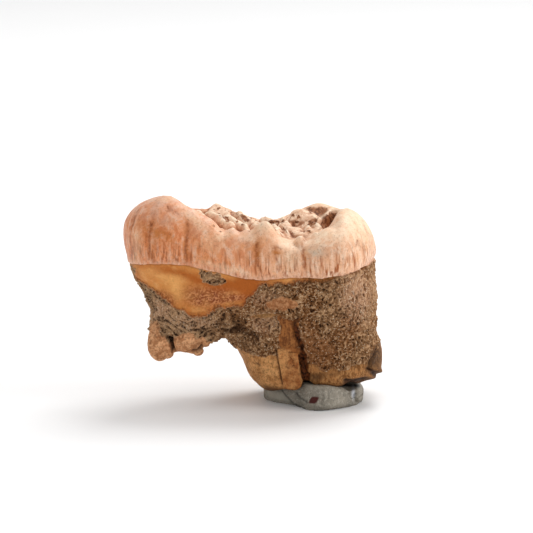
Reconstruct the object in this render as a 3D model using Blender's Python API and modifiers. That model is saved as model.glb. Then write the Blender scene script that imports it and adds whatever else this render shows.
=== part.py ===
"""A fossil cave bear molar, crown up, on the lump of grey putty that holds it.

The tooth grew as one piece, so crown and roots are one solid. The putty is another.
Lengths are in millimetres here, and MM turns each finished mesh into metres.
X runs along the tooth, from the broken root on the left to the broad root on the right.
Y runs from the near side to the far side. Z is up, with 0 at the underside of the putty.
"""

import math

import bmesh
import bpy
import numpy as np
from mathutils import Matrix, Vector, noise

MM = 0.001
GAP = 0.3
VOXEL = 0.4
TOOTH_TRIANGLES = 8200
COLUMNS = 160
PUTTY_COLUMNS = 96
TOOTH_COLOUR = (0.5, 0.3, 0.18)
PUTTY_COLOUR = (0.2, 0.18, 0.15)

# Stations round the crown at its widest, from the left end along the near side and back along the far side.
# Each row: x, y, how far in the enamel's lower edge lies, its height, the height of the widest line,
# how far in the crest lies, its height.
CROWN_STATIONS = (
    (-16.2, -0.2, 0.80, 17.5, 21.3, 5.2, 25.6),
    (-15.3, -4.3, 0.70, 17.8, 21.3, 4.8, 26.0),
    (-12.6, -7.0, 0.55, 18.3, 21.2, 4.4, 26.0),
    (-8.9, -8.0, 0.45, 18.2, 20.6, 3.6, 25.1),
    (-5.2, -8.3, 0.45, 17.6, 20.0, 2.8, 23.8),
    (-1.5, -8.6, 0.45, 16.8, 19.4, 2.5, 22.2),
    (1.8, -8.9, 0.45, 16.6, 19.4, 2.5, 22.5),
    (5.0, -8.9, 0.45, 16.9, 19.2, 2.7, 20.9),
    (8.4, -9.1, 0.40, 16.9, 19.2, 2.7, 21.9),
    (11.9, -8.1, 0.30, 17.3, 18.9, 3.4, 23.2),
    (14.5, -4.6, 0.15, 17.8, 18.3, 4.2, 24.1),
    (15.35, 0.2, 0.05, 17.6, 18.0, 4.7, 24.3),
    (14.3, 5.4, 0.20, 17.4, 18.4, 4.6, 23.4),
    (11.4, 8.6, 0.35, 17.2, 19.0, 3.6, 23.2),
    (7.0, 9.3, 0.45, 17.0, 19.2, 2.9, 23.1),
    (2.0, 8.9, 0.45, 16.9, 19.3, 2.7, 21.4),
    (-2.6, 7.9, 0.45, 17.1, 19.5, 2.5, 22.4),
    (-7.0, 6.8, 0.50, 17.4, 20.0, 2.5, 23.3),
    (-11.2, 5.5, 0.60, 17.6, 20.6, 3.4, 23.6),
    (-14.9, 3.1, 0.75, 17.6, 21.1, 4.8, 24.6),
)
ENAMEL_STEP = 0.25
# The basin's deepest line runs between these two x.
BASIN_SPINE = (-7.5, 8.5)
# The nodules cover an oval: its middle x, its half-length, its half-width.
NODULE_OVAL = (-0.8, 11.7, 6.5)
BASIN_FLOOR = ((-9.0, 20.8), (-6.0, 19.8), (-2.0, 19.8), (3.0, 20.5), (7.0, 21.3), (10.0, 21.6))

# Cusps, lobes and nodules of the chewing surface: x, y, radius along x, radius along y, height.
CUSPS = (
    (1.5, -6.4, 1.0, 1.3, 1.35),
    (0.2, -6.2, 0.7, 1.0, 0.35),
    (-0.9, -6.3, 0.5, 0.8, 0.3),
    (-2.6, -6.4, 0.6, 0.8, 0.25),
    (-3.8, -6.2, 0.9, 1.6, -0.75),
    (-7.2, -5.2, 1.3, 1.6, 0.25),
    (-9.5, -2.6, 1.6, 2.4, 0.55),
    (-8.4, -3.2, 1.2, 1.8, 0.2),
    (5.7, -5.9, 0.8, 1.0, 0.25),
    (8.8, -5.9, 1.1, 1.2, 0.35),
    (5.9, 2.6, 1.5, 1.7, 1.9),
    (4.3, 2.0, 0.9, 1.1, 0.9),
    (7.3, 1.0, 0.9, 1.0, 0.7),
    (8.1, 5.6, 1.6, 1.3, 0.6),
    (4.4, 5.4, 1.0, 1.0, 0.35),
    (-4.6, 5.7, 0.9, 1.1, 0.85),
    (-3.2, 5.7, 0.7, 0.9, 0.35),
    (-1.7, 5.6, 0.8, 0.9, 0.3),
    (-6.3, 1.6, 0.8, 1.6, 0.9),
    (-4.6, 1.2, 0.6, 1.3, 0.8),
    (-3.1, -0.6, 0.7, 0.9, 0.8),
    (-5.3, -2.6, 0.6, 1.4, 0.7),
    (-3.8, -3.4, 0.5, 1.1, 0.6),
    (-1.6, -3.3, 0.6, 0.8, 0.6),
    (-1.2, 1.9, 0.8, 0.8, 0.5),
    (0.4, -0.9, 0.7, 0.8, 0.5),
    (2.0, 1.4, 0.8, 0.7, 0.4),
    (2.9, -3.6, 0.6, 1.1, 1.1),
    (4.1, -3.2, 0.6, 1.1, 1.1),
    (5.2, -1.2, 0.7, 0.8, 0.8),
    (6.6, -3.4, 0.8, 0.8, 0.6),
    (8.0, -3.0, 0.7, 0.8, 0.6),
    (9.4, 0.4, 1.0, 1.7, -1.5),
)

NODULE_SIZE = (1.5, 2.0)
NODULE_HEIGHT = 0.95

# Vertical furrows down the crown's near wall: x, half-width, depth.
WALL_FURROWS = (
    (-8.3, 0.8, 0.28),
    (-4.2, 1.6, 0.2),
    (-0.8, 0.5, 0.14),
    (0.4, 0.4, 0.1),
    (6.5, 0.5, 0.3),
)

# Where the crust that covers the roots begins, below the bare dentine, and where it ends: x, height.
CRUST_TOP_NEAR = (
    (-15.4, 16.0), (-14.4, 15.4), (-12.8, 14.4), (-10.9, 13.6), (-9.0, 12.3), (-6.6, 11.6), (-5.3, 12.3),
    (-3.5, 13.0), (-1.0, 13.4), (0.2, 14.7), (1.2, 15.7), (4.0, 16.0), (8.3, 16.4), (11.5, 17.2),
    (15.5, 18.2),
)
CRUST_TOP_FAR = (
    (-15.4, 15.0), (-12.0, 13.2), (-8.0, 14.4), (-4.0, 15.6), (0.0, 14.2), (4.0, 12.6), (7.5, 14.8),
    (11.0, 16.6), (15.5, 17.6),
)
CRUST_FOOT_NEAR = (
    (-13.5, 9.8), (-11.5, 9.2), (-9.8, 8.7), (-8.5, 9.0), (-6.1, 8.9), (-4.5, 7.6), (-2.1, 7.2), (-0.6, 6.7),
    (1.1, 6.6), (3.1, 7.0), (4.6, 6.8), (6.0, 5.4), (7.3, 5.6), (8.9, 5.3), (10.8, 5.0), (12.3, 5.7),
    (13.9, 6.1), (15.1, 7.4), (16.2, 8.3),
)
CRUST_FOOT_FAR = (
    (-13.5, 10.0), (-8.0, 9.6), (-3.0, 6.4), (1.0, 5.4), (5.0, 7.2), (9.0, 4.6), (13.0, 5.2), (16.2, 7.0),
)
CRUST_THICKNESS = 0.3
# How far below the sections given further on the bare dentine lies, as a share of the crust's thickness.
BARE_SHARE = 0.2
# Lumps of the crust and the broken bone: how far apart, how high.
CRUST_LUMPS = ((2.4, 0.2), (0.95, 0.16))
BARE_LUMP_SHARE = 0.1
# A strip of the left-hand root that the crust has left bare: middle x, half-width, lowest and highest z.
BARE_STRIP = (4.35, 1.05, 7.0, 11.6)
# A smooth scale of dentine standing out of the crust: x, z, half-length, half-height, rise.
SCALE = (3.6, 13.6, 1.9, 0.85, 0.3)

# Upright grooves of the right root.
# Each row: middle, half-width, depth, height where it starts to fade and height where it is gone.
NEAR_GROOVE = (5.9, 0.75, 1.2, 9.0, 11.5)
FAR_GROOVE = (6.4, 1.2, 0.9, 10.0, 13.5)
END_GROOVE = (0.6, 2.2, 0.5, 12.0, 16.0)

# Level sections of the roots: height, left end, right end, half-depth at the left end and at the right end,
# and how deep the far side is beside the near one.
TRUNK_SECTIONS = (
    (15.0, -14.7, 15.2, 6.7, 9.0, 0.75),
    (14.0, -14.1, 15.35, 6.3, 8.9, 0.65),
    (13.0, -13.7, 15.5, 5.9, 8.8, 0.55),
    (12.0, -13.35, 15.6, 5.6, 8.7, 0.48),
    (11.0, -13.0, 15.7, 5.4, 8.6, 0.42),
    (10.0, -12.9, 15.75, 5.1, 8.5, 0.38),
    (9.3, -12.6, 15.6, 4.9, 8.3, 0.35),
    (8.9, -12.0, 15.4, 4.5, 8.1, 0.3),
)
RIGHT_ROOT_SECTIONS = (
    (14.0, -5.4, 15.0, 6.8, 8.7, 1.0),
    (12.0, -5.2, 15.6, 7.0, 8.8, 1.0),
    (10.0, -4.8, 15.75, 7.0, 8.7, 1.0),
    (9.0, -4.2, 15.65, 6.9, 8.6, 1.0),
    (8.0, -3.3, 15.6, 6.8, 8.5, 1.0),
    (7.0, -2.6, 15.9, 6.8, 8.5, 1.0),
    (6.3, -2.1, 16.3, 6.7, 8.4, 1.0),
    (5.5, -1.64, 16.45, 6.7, 8.4, 1.0),
    (4.7, -1.3, 16.4, 6.7, 8.3, 1.0),
    (3.7, -0.87, 16.25, 6.7, 8.1, 1.0),
    (3.0, -0.5, 16.0, 6.6, 7.8, 1.0),
    (2.4, 0.0, 15.8, 6.3, 7.4, 1.0),
    (1.8, 0.55, 15.4, 5.6, 6.5, 1.0),
    (1.3, 1.2, 14.2, 4.4, 4.8, 1.0),
)
LEFT_ROOT_SECTIONS = (
    (14.0, -13.6, -5.0, 5.4, 6.0, 0.5),
    (12.0, -13.3, -5.2, 5.6, 6.0, 0.42),
    (10.5, -12.95, -5.5, 5.3, 5.6, 0.38),
    (9.4, -13.0, -5.8, 5.1, 5.2, 0.35),
    (8.7, -12.8, -6.3, 4.6, 4.6, 0.3),
)
# How much the undersides of the roots lift from the left root's level: x, lift.
SOLE_LIFT = ((-2.0, 0.0), (5.0, 0.0), (7.5, 0.5), (11.0, 0.55), (13.5, 1.0), (15.0, 1.6), (16.5, 2.2))

# Broken lumps under the left root: centre, radii.
STUMPS = (
    ((-11.75, -4.2, 8.0), (1.6, 1.8, 2.75)),
    ((-10.8, -2.7, 8.4), (1.6, 1.8, 2.0)),
    ((-8.1, -4.1, 8.3), (1.9, 1.9, 1.95)),
    ((-7.2, -3.6, 7.6), (1.25, 1.3, 1.55)),
    ((-5.7, -5.0, 8.5), (1.05, 1.3, 1.0)),
    ((-11.6, -0.4, 9.2), (1.3, 1.8, 1.4)),
)
# A flake that stands out at the foot of the right root: centre, radii.
CORNER_FLAKE = ((14.6, -2.6, 4.0), (1.5, 2.0, 0.95))
# The pulp chamber that the broken left root lays open from below: centre, radii.
PULP_HOLLOW = ((-8.8, 1.6, 8.6), (3.2, 3.2, 4.6))

# The putty's outline where it is widest, from its left end along the near side: x, y, height of its top.
PUTTY_STATIONS = (
    (1.3, -0.3, 1.7),
    (1.65, -2.1, 1.9),
    (3.1, -3.7, 2.1),
    (4.8, -4.8, 2.4),
    (5.9, -5.7, 2.9),
    (6.8, -7.5, 3.1),
    (8.3, -8.3, 3.0),
    (10.1, -7.6, 2.9),
    (12.0, -6.0, 2.7),
    (13.4, -4.1, 2.6),
    (13.85, -0.6, 2.5),
    (13.5, 3.6, 2.5),
    (11.2, 6.6, 2.5),
    (7.2, 7.3, 2.5),
    (3.6, 6.2, 2.3),
    (1.6, 3.4, 1.9),
)


def along(points, x):
    """A smooth height read at x from (x, height) points."""
    px, pz = np.array(points, float).T
    slope = np.gradient(pz, px)
    x = np.clip(x, px[0], px[-1])
    i = np.clip(np.searchsorted(px, x) - 1, 0, len(px) - 2)
    width = px[i + 1] - px[i]
    t = (x - px[i]) / width
    ends = pz[i] * (1 + 2 * t) * (1 - t) ** 2 + pz[i + 1] * t * t * (3 - 2 * t)
    return ends + width * t * (1 - t) * (slope[i] * (1 - t) - slope[i + 1] * t)


def closed_spline(rows, count):
    """The rows read round a smooth closed curve, at count even steps."""
    rows = np.asarray(rows, float)
    at = np.arange(count) * len(rows) / count
    i = np.floor(at).astype(int)
    t = (at - i)[:, None]
    a, b, c, d = (rows[(i + k) % len(rows)] for k in (-1, 0, 1, 2))
    return b + 0.5 * t * (c - a + t * (2 * a - 5 * b + 4 * c - d + t * (3 * (b - c) + d - a)))


def smoothstep(low, high, value):
    t = np.clip((value - low) / (high - low), 0.0, 1.0)
    return t * t * (3 - 2 * t)


def loft(name, rings):
    """A closed body through rings of equal count, with its two ends capped."""
    count = len(rings[0])
    points = [tuple(point) for ring in rings for point in ring]
    faces = []
    for k in range(len(rings) - 1):
        for j in range(count):
            following = (j + 1) % count
            low, high = k * count, (k + 1) * count
            faces.append((low + j, low + following, high + following, high + j))
    faces.append(tuple(range(count))[::-1])
    faces.append(tuple(range((len(rings) - 1) * count, len(rings) * count)))
    mesh = bpy.data.meshes.new(name)
    mesh.from_pydata(points, [], faces)
    return faced_out(mesh)


def faced_out(mesh):
    bm = bmesh.new()
    bm.from_mesh(mesh)
    bmesh.ops.recalc_face_normals(bm, faces=bm.faces)
    bm.to_mesh(mesh)
    bm.free()
    return mesh


def ellipsoid(name, centre, radii):
    bm = bmesh.new()
    bmesh.ops.create_uvsphere(bm, u_segments=32, v_segments=20, radius=1.0)
    shape = Matrix.Translation(centre) @ Matrix.Diagonal((*radii, 1.0))
    bmesh.ops.transform(bm, matrix=shape, verts=bm.verts)
    mesh = bpy.data.meshes.new(name)
    bm.to_mesh(mesh)
    bm.free()
    return mesh


def crown_and_trunk_rings():
    """Rings from the broken underside up the trunk and the bulging enamel to the crest and into the basin."""
    x, y, neck_in, neck, wide, crest_in, crest = closed_spline(CROWN_STATIONS, COLUMNS).T
    outline = np.stack([x, y], 1)
    run = np.roll(outline, -1, 0) - np.roll(outline, 1, 0)
    outward = np.stack([run[:, 1], -run[:, 0]], 1) / np.linalg.norm(run, axis=1)[:, None]

    def ring(inset, height):
        return np.column_stack([outline - outward * inset[:, None], height])

    rings = [root_ring(*section) for section in TRUNK_SECTIONS[::-1]]
    rings.append(ring(neck_in + ENAMEL_STEP, neck - 0.9))
    rings.append(ring(neck_in + ENAMEL_STEP, neck - 0.15))
    for share in (0.0, 0.12, 0.3, 0.6):
        rings.append(ring(neck_in * (1 - share) ** 2, neck + (wide - neck) * share))
    for degrees in range(0, 91, 10):
        turn = math.radians(degrees)
        rings.append(ring(crest_in * (1 - math.cos(turn)), wide + (crest - wide) * math.sin(turn)))
    rim = rings[-1]
    spine = np.column_stack([np.clip(rim[:, 0], *BASIN_SPINE), np.zeros(COLUMNS), np.zeros(COLUMNS)])
    for share in (0.12, 0.25, 0.4, 0.6, 0.8, 0.97):
        point = rim + (spine - rim) * share
        floor = along(BASIN_FLOOR, point[:, 0])
        point[:, 2] = rim[:, 2] + (floor - rim[:, 2]) * smoothstep(-0.1, 0.75, share)
        rings.append(point)
    return rings


def root_ring(height, left, right, depth_left, depth_right, far_share, power=2.7):
    """One level section of a root: a rounded oblong, read from its left end along the near side."""
    turn = math.pi + np.arange(COLUMNS) * 2 * math.pi / COLUMNS
    cos, sin = np.cos(turn), np.sin(turn)
    x = (left + right) / 2 + (right - left) / 2 * np.sign(cos) * np.abs(cos) ** (2 / power)
    depth = depth_left + (depth_right - depth_left) * (x - left) / (right - left)
    y = depth * np.sign(sin) * np.abs(sin) ** (2 / power)
    y *= np.where(y > 0, far_share + (1 - far_share) * smoothstep(left, right, x), 1.0)
    return np.column_stack([x, y, np.full(COLUMNS, height)])


def fused(name, meshes):
    """One skin round all the meshes."""
    bm = bmesh.new()
    for mesh in meshes:
        bm.from_mesh(mesh)
        bpy.data.meshes.remove(mesh)
    mesh = bpy.data.meshes.new(name)
    bm.to_mesh(mesh)
    bm.free()
    holder = bpy.data.objects.new(name, mesh)
    bpy.context.scene.collection.objects.link(holder)
    remesh = holder.modifiers.new("Skin", "REMESH")
    remesh.mode = "VOXEL"
    remesh.voxel_size = VOXEL
    soften = holder.modifiers.new("Soften", "SMOOTH")
    soften.factor = 0.5
    soften.iterations = 4
    return applied(holder)


def applied(holder):
    """The object's mesh with its modifiers taken into it. The object goes."""
    graph = bpy.context.evaluated_depsgraph_get()
    mesh = bpy.data.meshes.new_from_object(holder.evaluated_get(graph))
    old = holder.data
    bpy.data.objects.remove(holder)
    bpy.data.meshes.remove(old)
    return mesh


def cut(mesh, cutter):
    """The mesh less the cutter, which must both be closed."""
    holder = bpy.data.objects.new("cut", mesh)
    tool = bpy.data.objects.new("cutter", cutter)
    for made in (holder, tool):
        bpy.context.scene.collection.objects.link(made)
    difference = holder.modifiers.new("Cut", "BOOLEAN")
    difference.operation = "DIFFERENCE"
    difference.solver = "EXACT"
    difference.object = tool
    result = applied(holder)
    bpy.data.objects.remove(tool)
    bpy.data.meshes.remove(cutter)
    return result


def read(mesh):
    points = np.empty(len(mesh.vertices) * 3, np.float32)
    mesh.vertices.foreach_get("co", points)
    normals = np.empty(len(mesh.vertices) * 3, np.float32)
    mesh.vertex_normals.foreach_get("vector", normals)
    return points.reshape(-1, 3).astype(float), normals.reshape(-1, 3).astype(float)


def write(mesh, points):
    mesh.vertices.foreach_set("co", points.astype(np.float32).ravel())
    mesh.update()


def grain(points, size, seed, octaves=2):
    """Smooth lumpy noise from about -1 to 1, one value a point."""
    shift = Vector((seed * 7.31, seed * 3.17, seed * 5.83))
    return np.array([noise.fractal(Vector(p) / size + shift, 0.8, 2.1, octaves) for p in points])


def wrinkles(points):
    """The bear's crumpled chewing surface: small rounded nodules crowded together, from 0 to 1."""
    height = np.empty(len(points))
    for i, (x, y, _) in enumerate(points):
        spot = Vector((x / NODULE_SIZE[0], y / NODULE_SIZE[1], 0.0))
        spot += 0.25 * noise.noise_vector(spot * 1.3)
        height[i] = noise.voronoi(Vector((spot.x, spot.y, 4.0)))[0][0]
    return 1 - np.clip(height / 0.75, 0, 1) ** 2


def neck_height(x, y):
    """Height of the enamel's lower edge, read by a point's bearing from the middle of the crown."""
    ring = closed_spline(CROWN_STATIONS, COLUMNS)
    half_length, half_width = np.abs(ring[:, :2]).max(0)
    bearing = np.arctan2(ring[:, 1] / half_width, ring[:, 0] / half_length)
    order = np.argsort(bearing)
    asked = np.arctan2(y / half_width, x / half_length)
    return np.interp(asked, bearing[order], ring[order, 3], period=math.tau)


def crust_cover(points, blur=0.35):
    """How much of each point of the roots lies under crust, from 0 to 1."""
    x, y, z = points.T
    far = smoothstep(-2.5, 2.5, y)
    wander = 0.45 * grain(points, 2.2, 5) + 0.3 * grain(points, 0.8, 6)
    top = along(CRUST_TOP_NEAR, x) * (1 - far) + along(CRUST_TOP_FAR, x) * far
    foot = along(CRUST_FOOT_NEAR, x) * (1 - far) + along(CRUST_FOOT_FAR, x) * far
    level = z + wander
    cover = smoothstep(blur, -blur, level - top) * smoothstep(-blur, blur, level - foot)
    middle, half, low, high = BARE_STRIP
    strip = smoothstep(half + blur, half - blur, np.abs(x - middle) + 0.5 * wander)
    strip *= smoothstep(low - blur, low, z) * smoothstep(high + blur, high - blur, level)
    return cover * (1 - strip * (1 - far))


def upright_groove(across, z, groove):
    """Depth of an upright groove, from its distance across and the height."""
    middle, half, depth, fade, end = groove
    return depth * np.exp(-(((across - middle) / half) ** 2)) * smoothstep(end, fade, z)


def relief(points, normals):
    """How the crown's and roots' forms move each point of the smooth skin."""
    x, y, z = points.T
    top = smoothstep(19.4, 20.2, z) * smoothstep(0.05, 0.5, normals[:, 2])
    rise = np.zeros(len(points))
    for cx, cy, rx, ry, height in CUSPS:
        rise += height * np.exp(-(((x - cx) / rx) ** 2) - ((y - cy) / ry) ** 2)
    oval_x, oval_length, oval_width = NODULE_OVAL
    inside = smoothstep(1.0, 0.78, np.hypot((x - oval_x) / oval_length, y / oval_width))
    chewed = (top * inside) > 0
    crumple = np.zeros(len(points))
    crumple[chewed] = wrinkles(points[chewed]) - 0.35
    rise += NODULE_HEIGHT * inside * crumple
    moved = points.copy()
    moved[:, 2] += top * rise
    moved[:, 2] += along(SOLE_LIFT, x) * (1 - smoothstep(1.5, 6.0, z))

    wall = smoothstep(17.0, 18.5, z) * smoothstep(-0.5, 0.1, -y) * (1 - smoothstep(0.3, 0.9, normals[:, 2]))
    out = np.zeros(len(points))
    for fx, half, depth in WALL_FURROWS:
        out -= depth * wall * np.exp(-(((x - fx) / half) ** 2))

    below = smoothstep(0.15, -0.15, z - neck_height(x, y))
    crust = crust_cover(points)
    out += 0.5 * ENAMEL_STEP * (0.5 - below)
    out += below * CRUST_THICKNESS * (crust - BARE_SHARE)
    lumps = sum(height * grain(points, size, seed) for seed, (size, height) in enumerate(CRUST_LUMPS, 1))
    out += below * (BARE_LUMP_SHARE + (1 - BARE_LUMP_SHARE) * crust) * lumps
    scale_x, scale_z, half_length, half_height, scale_rise = SCALE
    reach = np.hypot((x - scale_x) / half_length, (z - scale_z) / half_height)
    out += scale_rise * smoothstep(1.15, 0.85, reach) * smoothstep(-3.0, -5.0, y)
    out -= upright_groove(x, z, NEAR_GROOVE) * smoothstep(-0.5, -3.0, y)
    out -= upright_groove(x, z, FAR_GROOVE) * smoothstep(0.5, 3.0, y)
    out -= upright_groove(y, z, END_GROOVE) * smoothstep(8.0, 12.0, x)
    return moved + normals * out[:, None]


def decimated(mesh, name, triangles):
    holder = bpy.data.objects.new(name, mesh)
    bpy.context.scene.collection.objects.link(holder)
    holder.modifiers.new("Facets", "TRIANGULATE")
    fewer = holder.modifiers.new("Fewer", "DECIMATE")
    fewer.ratio = triangles / sum(len(face.vertices) - 2 for face in mesh.polygons)
    fewer.use_collapse_triangulate = True
    return applied(holder)


def molar_mesh():
    pieces = [loft("crown", crown_and_trunk_rings())]
    for name, sections in (("right", RIGHT_ROOT_SECTIONS), ("left", LEFT_ROOT_SECTIONS)):
        pieces.append(loft(name, [root_ring(*section) for section in sections]))
    pieces += [ellipsoid("lump", *lump) for lump in (*STUMPS, CORNER_FLAKE)]
    solid = fused("molar", pieces)
    mesh = fused("molar", [cut(solid, ellipsoid("pulp hollow", *PULP_HOLLOW))])
    points, normals = read(mesh)
    write(mesh, relief(points, normals))
    return mesh


def putty_mesh(tooth):
    """A low folded lump with a flat underside, hollowed on top where the roots press into it."""
    x, y, top = closed_spline(PUTTY_STATIONS, PUTTY_COLUMNS).T
    outline = np.stack([x, y], 1)
    middle = outline.mean(0)

    def ring(share, height):
        return np.column_stack([middle + (outline - middle) * share, height * np.ones(len(x))])

    rings = [ring(0.985, 0.0), ring(1.0, 0.35), ring(1.0, top * 0.6), ring(0.97, top * 0.85), ring(0.88, top)]
    rings.append(ring(0.3, top + 0.3))
    lump = loft("putty_pad", rings)
    around = tooth.copy()
    points, normals = read(around)
    write(around, points + normals * (GAP + 0.05))
    around = fused("around", [around])
    return cut(lump, decimated(around, "around", TOOTH_TRIANGLES))


def material(name, colour, roughness, metallic=0.0):
    made = bpy.data.materials.new(name)
    made.use_nodes = True
    surface = made.node_tree.nodes["Principled BSDF"]
    surface.inputs["Base Color"].default_value = (*colour, 1.0)
    surface.inputs["Roughness"].default_value = roughness
    surface.inputs["Metallic"].default_value = metallic
    return made


def place(name, mesh, finish, collection):
    """The finished mesh in metres, as a named object in the collection."""
    mesh.transform(Matrix.Scale(MM, 4))
    mesh.materials.clear()
    mesh.materials.append(finish)
    mesh.shade_smooth()
    made = bpy.data.objects.new(name, mesh)
    collection.objects.link(made)
    return made


def main():
    for old in list(bpy.data.objects):
        bpy.data.objects.remove(old)
    collection = bpy.data.collections.new("fossil cave bear molar")
    bpy.context.scene.collection.children.link(collection)
    tooth = decimated(molar_mesh(), "molar", TOOTH_TRIANGLES)
    putty = putty_mesh(tooth)
    place("molar", tooth, material("tooth", TOOTH_COLOUR, 0.5), collection)
    place("putty_pad", putty, material("putty", PUTTY_COLOUR, 0.7), collection)


main()
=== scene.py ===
"""The look of a fossil cave bear molar on its lump of grey putty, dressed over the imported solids.

Lengths are in millimetres here, and MM turns each finished mesh into metres.
X runs along the tooth, from the broken root on the left to the broad root on the right.
Y runs from the near side to the far side. Z is up, with 0 at the underside of the putty.
The front view is the photograph's. There u is millimetres right of x 0, and v above z 0.
"""

import math

import bmesh
import bpy
import numpy as np
from mathutils import Matrix, Vector, kdtree, noise
from mathutils.bvhtree import BVHTree


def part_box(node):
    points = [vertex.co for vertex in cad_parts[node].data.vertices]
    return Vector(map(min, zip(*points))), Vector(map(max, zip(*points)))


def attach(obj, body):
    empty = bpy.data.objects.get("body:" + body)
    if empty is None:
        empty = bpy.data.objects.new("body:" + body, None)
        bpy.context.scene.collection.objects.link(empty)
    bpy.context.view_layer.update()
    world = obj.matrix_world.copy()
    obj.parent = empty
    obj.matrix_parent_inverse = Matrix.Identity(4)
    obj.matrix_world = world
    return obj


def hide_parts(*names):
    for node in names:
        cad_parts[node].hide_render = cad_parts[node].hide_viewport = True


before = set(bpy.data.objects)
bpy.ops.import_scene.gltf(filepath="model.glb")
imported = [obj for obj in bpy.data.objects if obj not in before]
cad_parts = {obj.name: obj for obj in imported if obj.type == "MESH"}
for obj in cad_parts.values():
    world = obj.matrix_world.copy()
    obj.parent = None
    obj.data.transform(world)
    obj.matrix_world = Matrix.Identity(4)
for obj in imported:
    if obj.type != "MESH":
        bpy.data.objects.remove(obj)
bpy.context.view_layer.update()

MM = 0.001
VOXEL = 0.4
PUTTY_VOXEL = 0.12
COLUMNS = 160
PUTTY_COLUMNS = 96
FINE_TRIANGLES = 192000
# The world's strength as a light, beside 1 where the camera sees it.
TENT_LIGHT = 0.66
# The floor and the lamps, in metres and watts. Each lamp: name, place, size, power.
FLOOR_CORNERS = ((-1.5, -1.0, 0.0), (1.5, -1.0, 0.0), (1.5, 1.5, 0.0), (-1.5, 1.5, 0.0))
LAMPS = (("key", (0.12, 0.20, 0.36), 0.24, 1.1), ("side", (0.34, -0.06, 0.16), 0.20, 0.5))
LIT_MIDDLE = (0.0, 0.0, 0.015)

# How the tooth was photographed: the camera's tilt, its distance, and the point that it looks at.
CAMERA_TILT = math.radians(11.0)
CAMERA_DISTANCE = 600.0
CAMERA_TARGET = np.array([1.66, 0.0, 16.7])
CAMERA_LENS = 324.2
BACK = np.array([0.0, -math.cos(CAMERA_TILT), math.sin(CAMERA_TILT)])
UP = np.array([0.0, math.sin(CAMERA_TILT), math.cos(CAMERA_TILT)])

# Stations round the crown at its widest, from the left end along the near side and back along the far side.
# Each row: x, y, how far in the enamel's lower edge lies, its height, the height of the widest line,
# how far in the crest lies, its height.
CROWN_STATIONS = (
    (-16.2, -0.2, 0.8, 17.5, 21.3, 5.2, 25.6), (-15.3, -4.3, 0.7, 17.8, 21.3, 4.8, 26),
    (-12.6, -7, 0.55, 18.3, 21.2, 4.4, 26), (-8.9, -8, 0.45, 18.2, 20.6, 3.6, 25.1),
    (-5.2, -8.3, 0.45, 17.6, 20, 2.8, 23.8), (-1.5, -8.6, 0.45, 16.8, 19.4, 2.5, 22.2),
    (1.8, -8.9, 0.45, 16.6, 19.4, 2.5, 22.5), (5, -8.9, 0.45, 16.9, 19.2, 2.7, 20.9),
    (8.4, -9.1, 0.4, 16.9, 19.2, 2.7, 21.9), (11.9, -8.1, 0.3, 17.3, 18.9, 3.4, 23.2),
    (14.5, -4.6, 0.15, 17.8, 18.3, 4.2, 24.1), (15.35, 0.2, 0.05, 17.6, 18, 4.7, 24.3),
    (14.3, 5.4, 0.2, 17.4, 18.4, 4.6, 23.4), (11.4, 8.6, 0.35, 17.2, 19, 3.6, 23.2),
    (7, 9.3, 0.45, 17, 19.2, 2.9, 23.1), (2, 8.9, 0.45, 16.9, 19.3, 2.7, 21.4),
    (-2.6, 7.9, 0.45, 17.1, 19.5, 2.5, 22.4), (-7, 6.8, 0.5, 17.4, 20, 2.5, 23.3),
    (-11.2, 5.5, 0.6, 17.6, 20.6, 3.4, 23.6), (-14.9, 3.1, 0.75, 17.6, 21.1, 4.8, 24.6),
)
ENAMEL_STEP = 0.25
# The basin's deepest line runs between these two x.
BASIN_SPINE = (-7.5, 8.5)
# The nodules cover an oval: its middle x, its half-length, its half-width.
NODULE_OVAL = (-0.8, 11.7, 6.5)
BASIN_FLOOR = ((-9, 20.8), (-6, 19.8), (-2, 19.8), (3, 20.5), (7, 21.3), (10, 21.6))
# Cusps, lobes and nodules of the chewing surface: x, y, radius along x, radius along y, height.
CUSPS = (
    (1.5, -6.4, 1, 1.3, 1.35), (0.2, -6.2, 0.7, 1, 0.35), (-0.9, -6.3, 0.5, 0.8, 0.3),
    (-2.6, -6.4, 0.6, 0.8, 0.25), (-3.8, -6.2, 0.9, 1.6, -0.75), (-7.2, -5.2, 1.3, 1.6, 0.25),
    (-9.5, -2.6, 1.6, 2.4, 0.55), (-8.4, -3.2, 1.2, 1.8, 0.2), (5.7, -5.9, 0.8, 1, 0.25),
    (8.8, -5.9, 1.1, 1.2, 0.35), (5.9, 2.6, 1.5, 1.7, 1.9), (4.3, 2, 0.9, 1.1, 0.9), (7.3, 1, 0.9, 1, 0.7),
    (8.1, 5.6, 1.6, 1.3, 0.6), (4.4, 5.4, 1, 1, 0.35), (-4.6, 5.7, 0.9, 1.1, 0.85),
    (-3.2, 5.7, 0.7, 0.9, 0.35), (-1.7, 5.6, 0.8, 0.9, 0.3), (-6.3, 1.6, 0.8, 1.6, 0.9),
    (-4.6, 1.2, 0.6, 1.3, 0.8), (-3.1, -0.6, 0.7, 0.9, 0.8), (-5.3, -2.6, 0.6, 1.4, 0.7),
    (-3.8, -3.4, 0.5, 1.1, 0.6), (-1.6, -3.3, 0.6, 0.8, 0.6), (-1.2, 1.9, 0.8, 0.8, 0.5),
    (0.4, -0.9, 0.7, 0.8, 0.5), (2, 1.4, 0.8, 0.7, 0.4), (2.9, -3.6, 0.6, 1.1, 1.1),
    (4.1, -3.2, 0.6, 1.1, 1.1), (5.2, -1.2, 0.7, 0.8, 0.8), (6.6, -3.4, 0.8, 0.8, 0.6),
    (8, -3, 0.7, 0.8, 0.6), (9.4, 0.4, 1, 1.7, -1.5),
)
NODULE_SIZE = (1.5, 2.0)
NODULE_HEIGHT = 0.95
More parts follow.
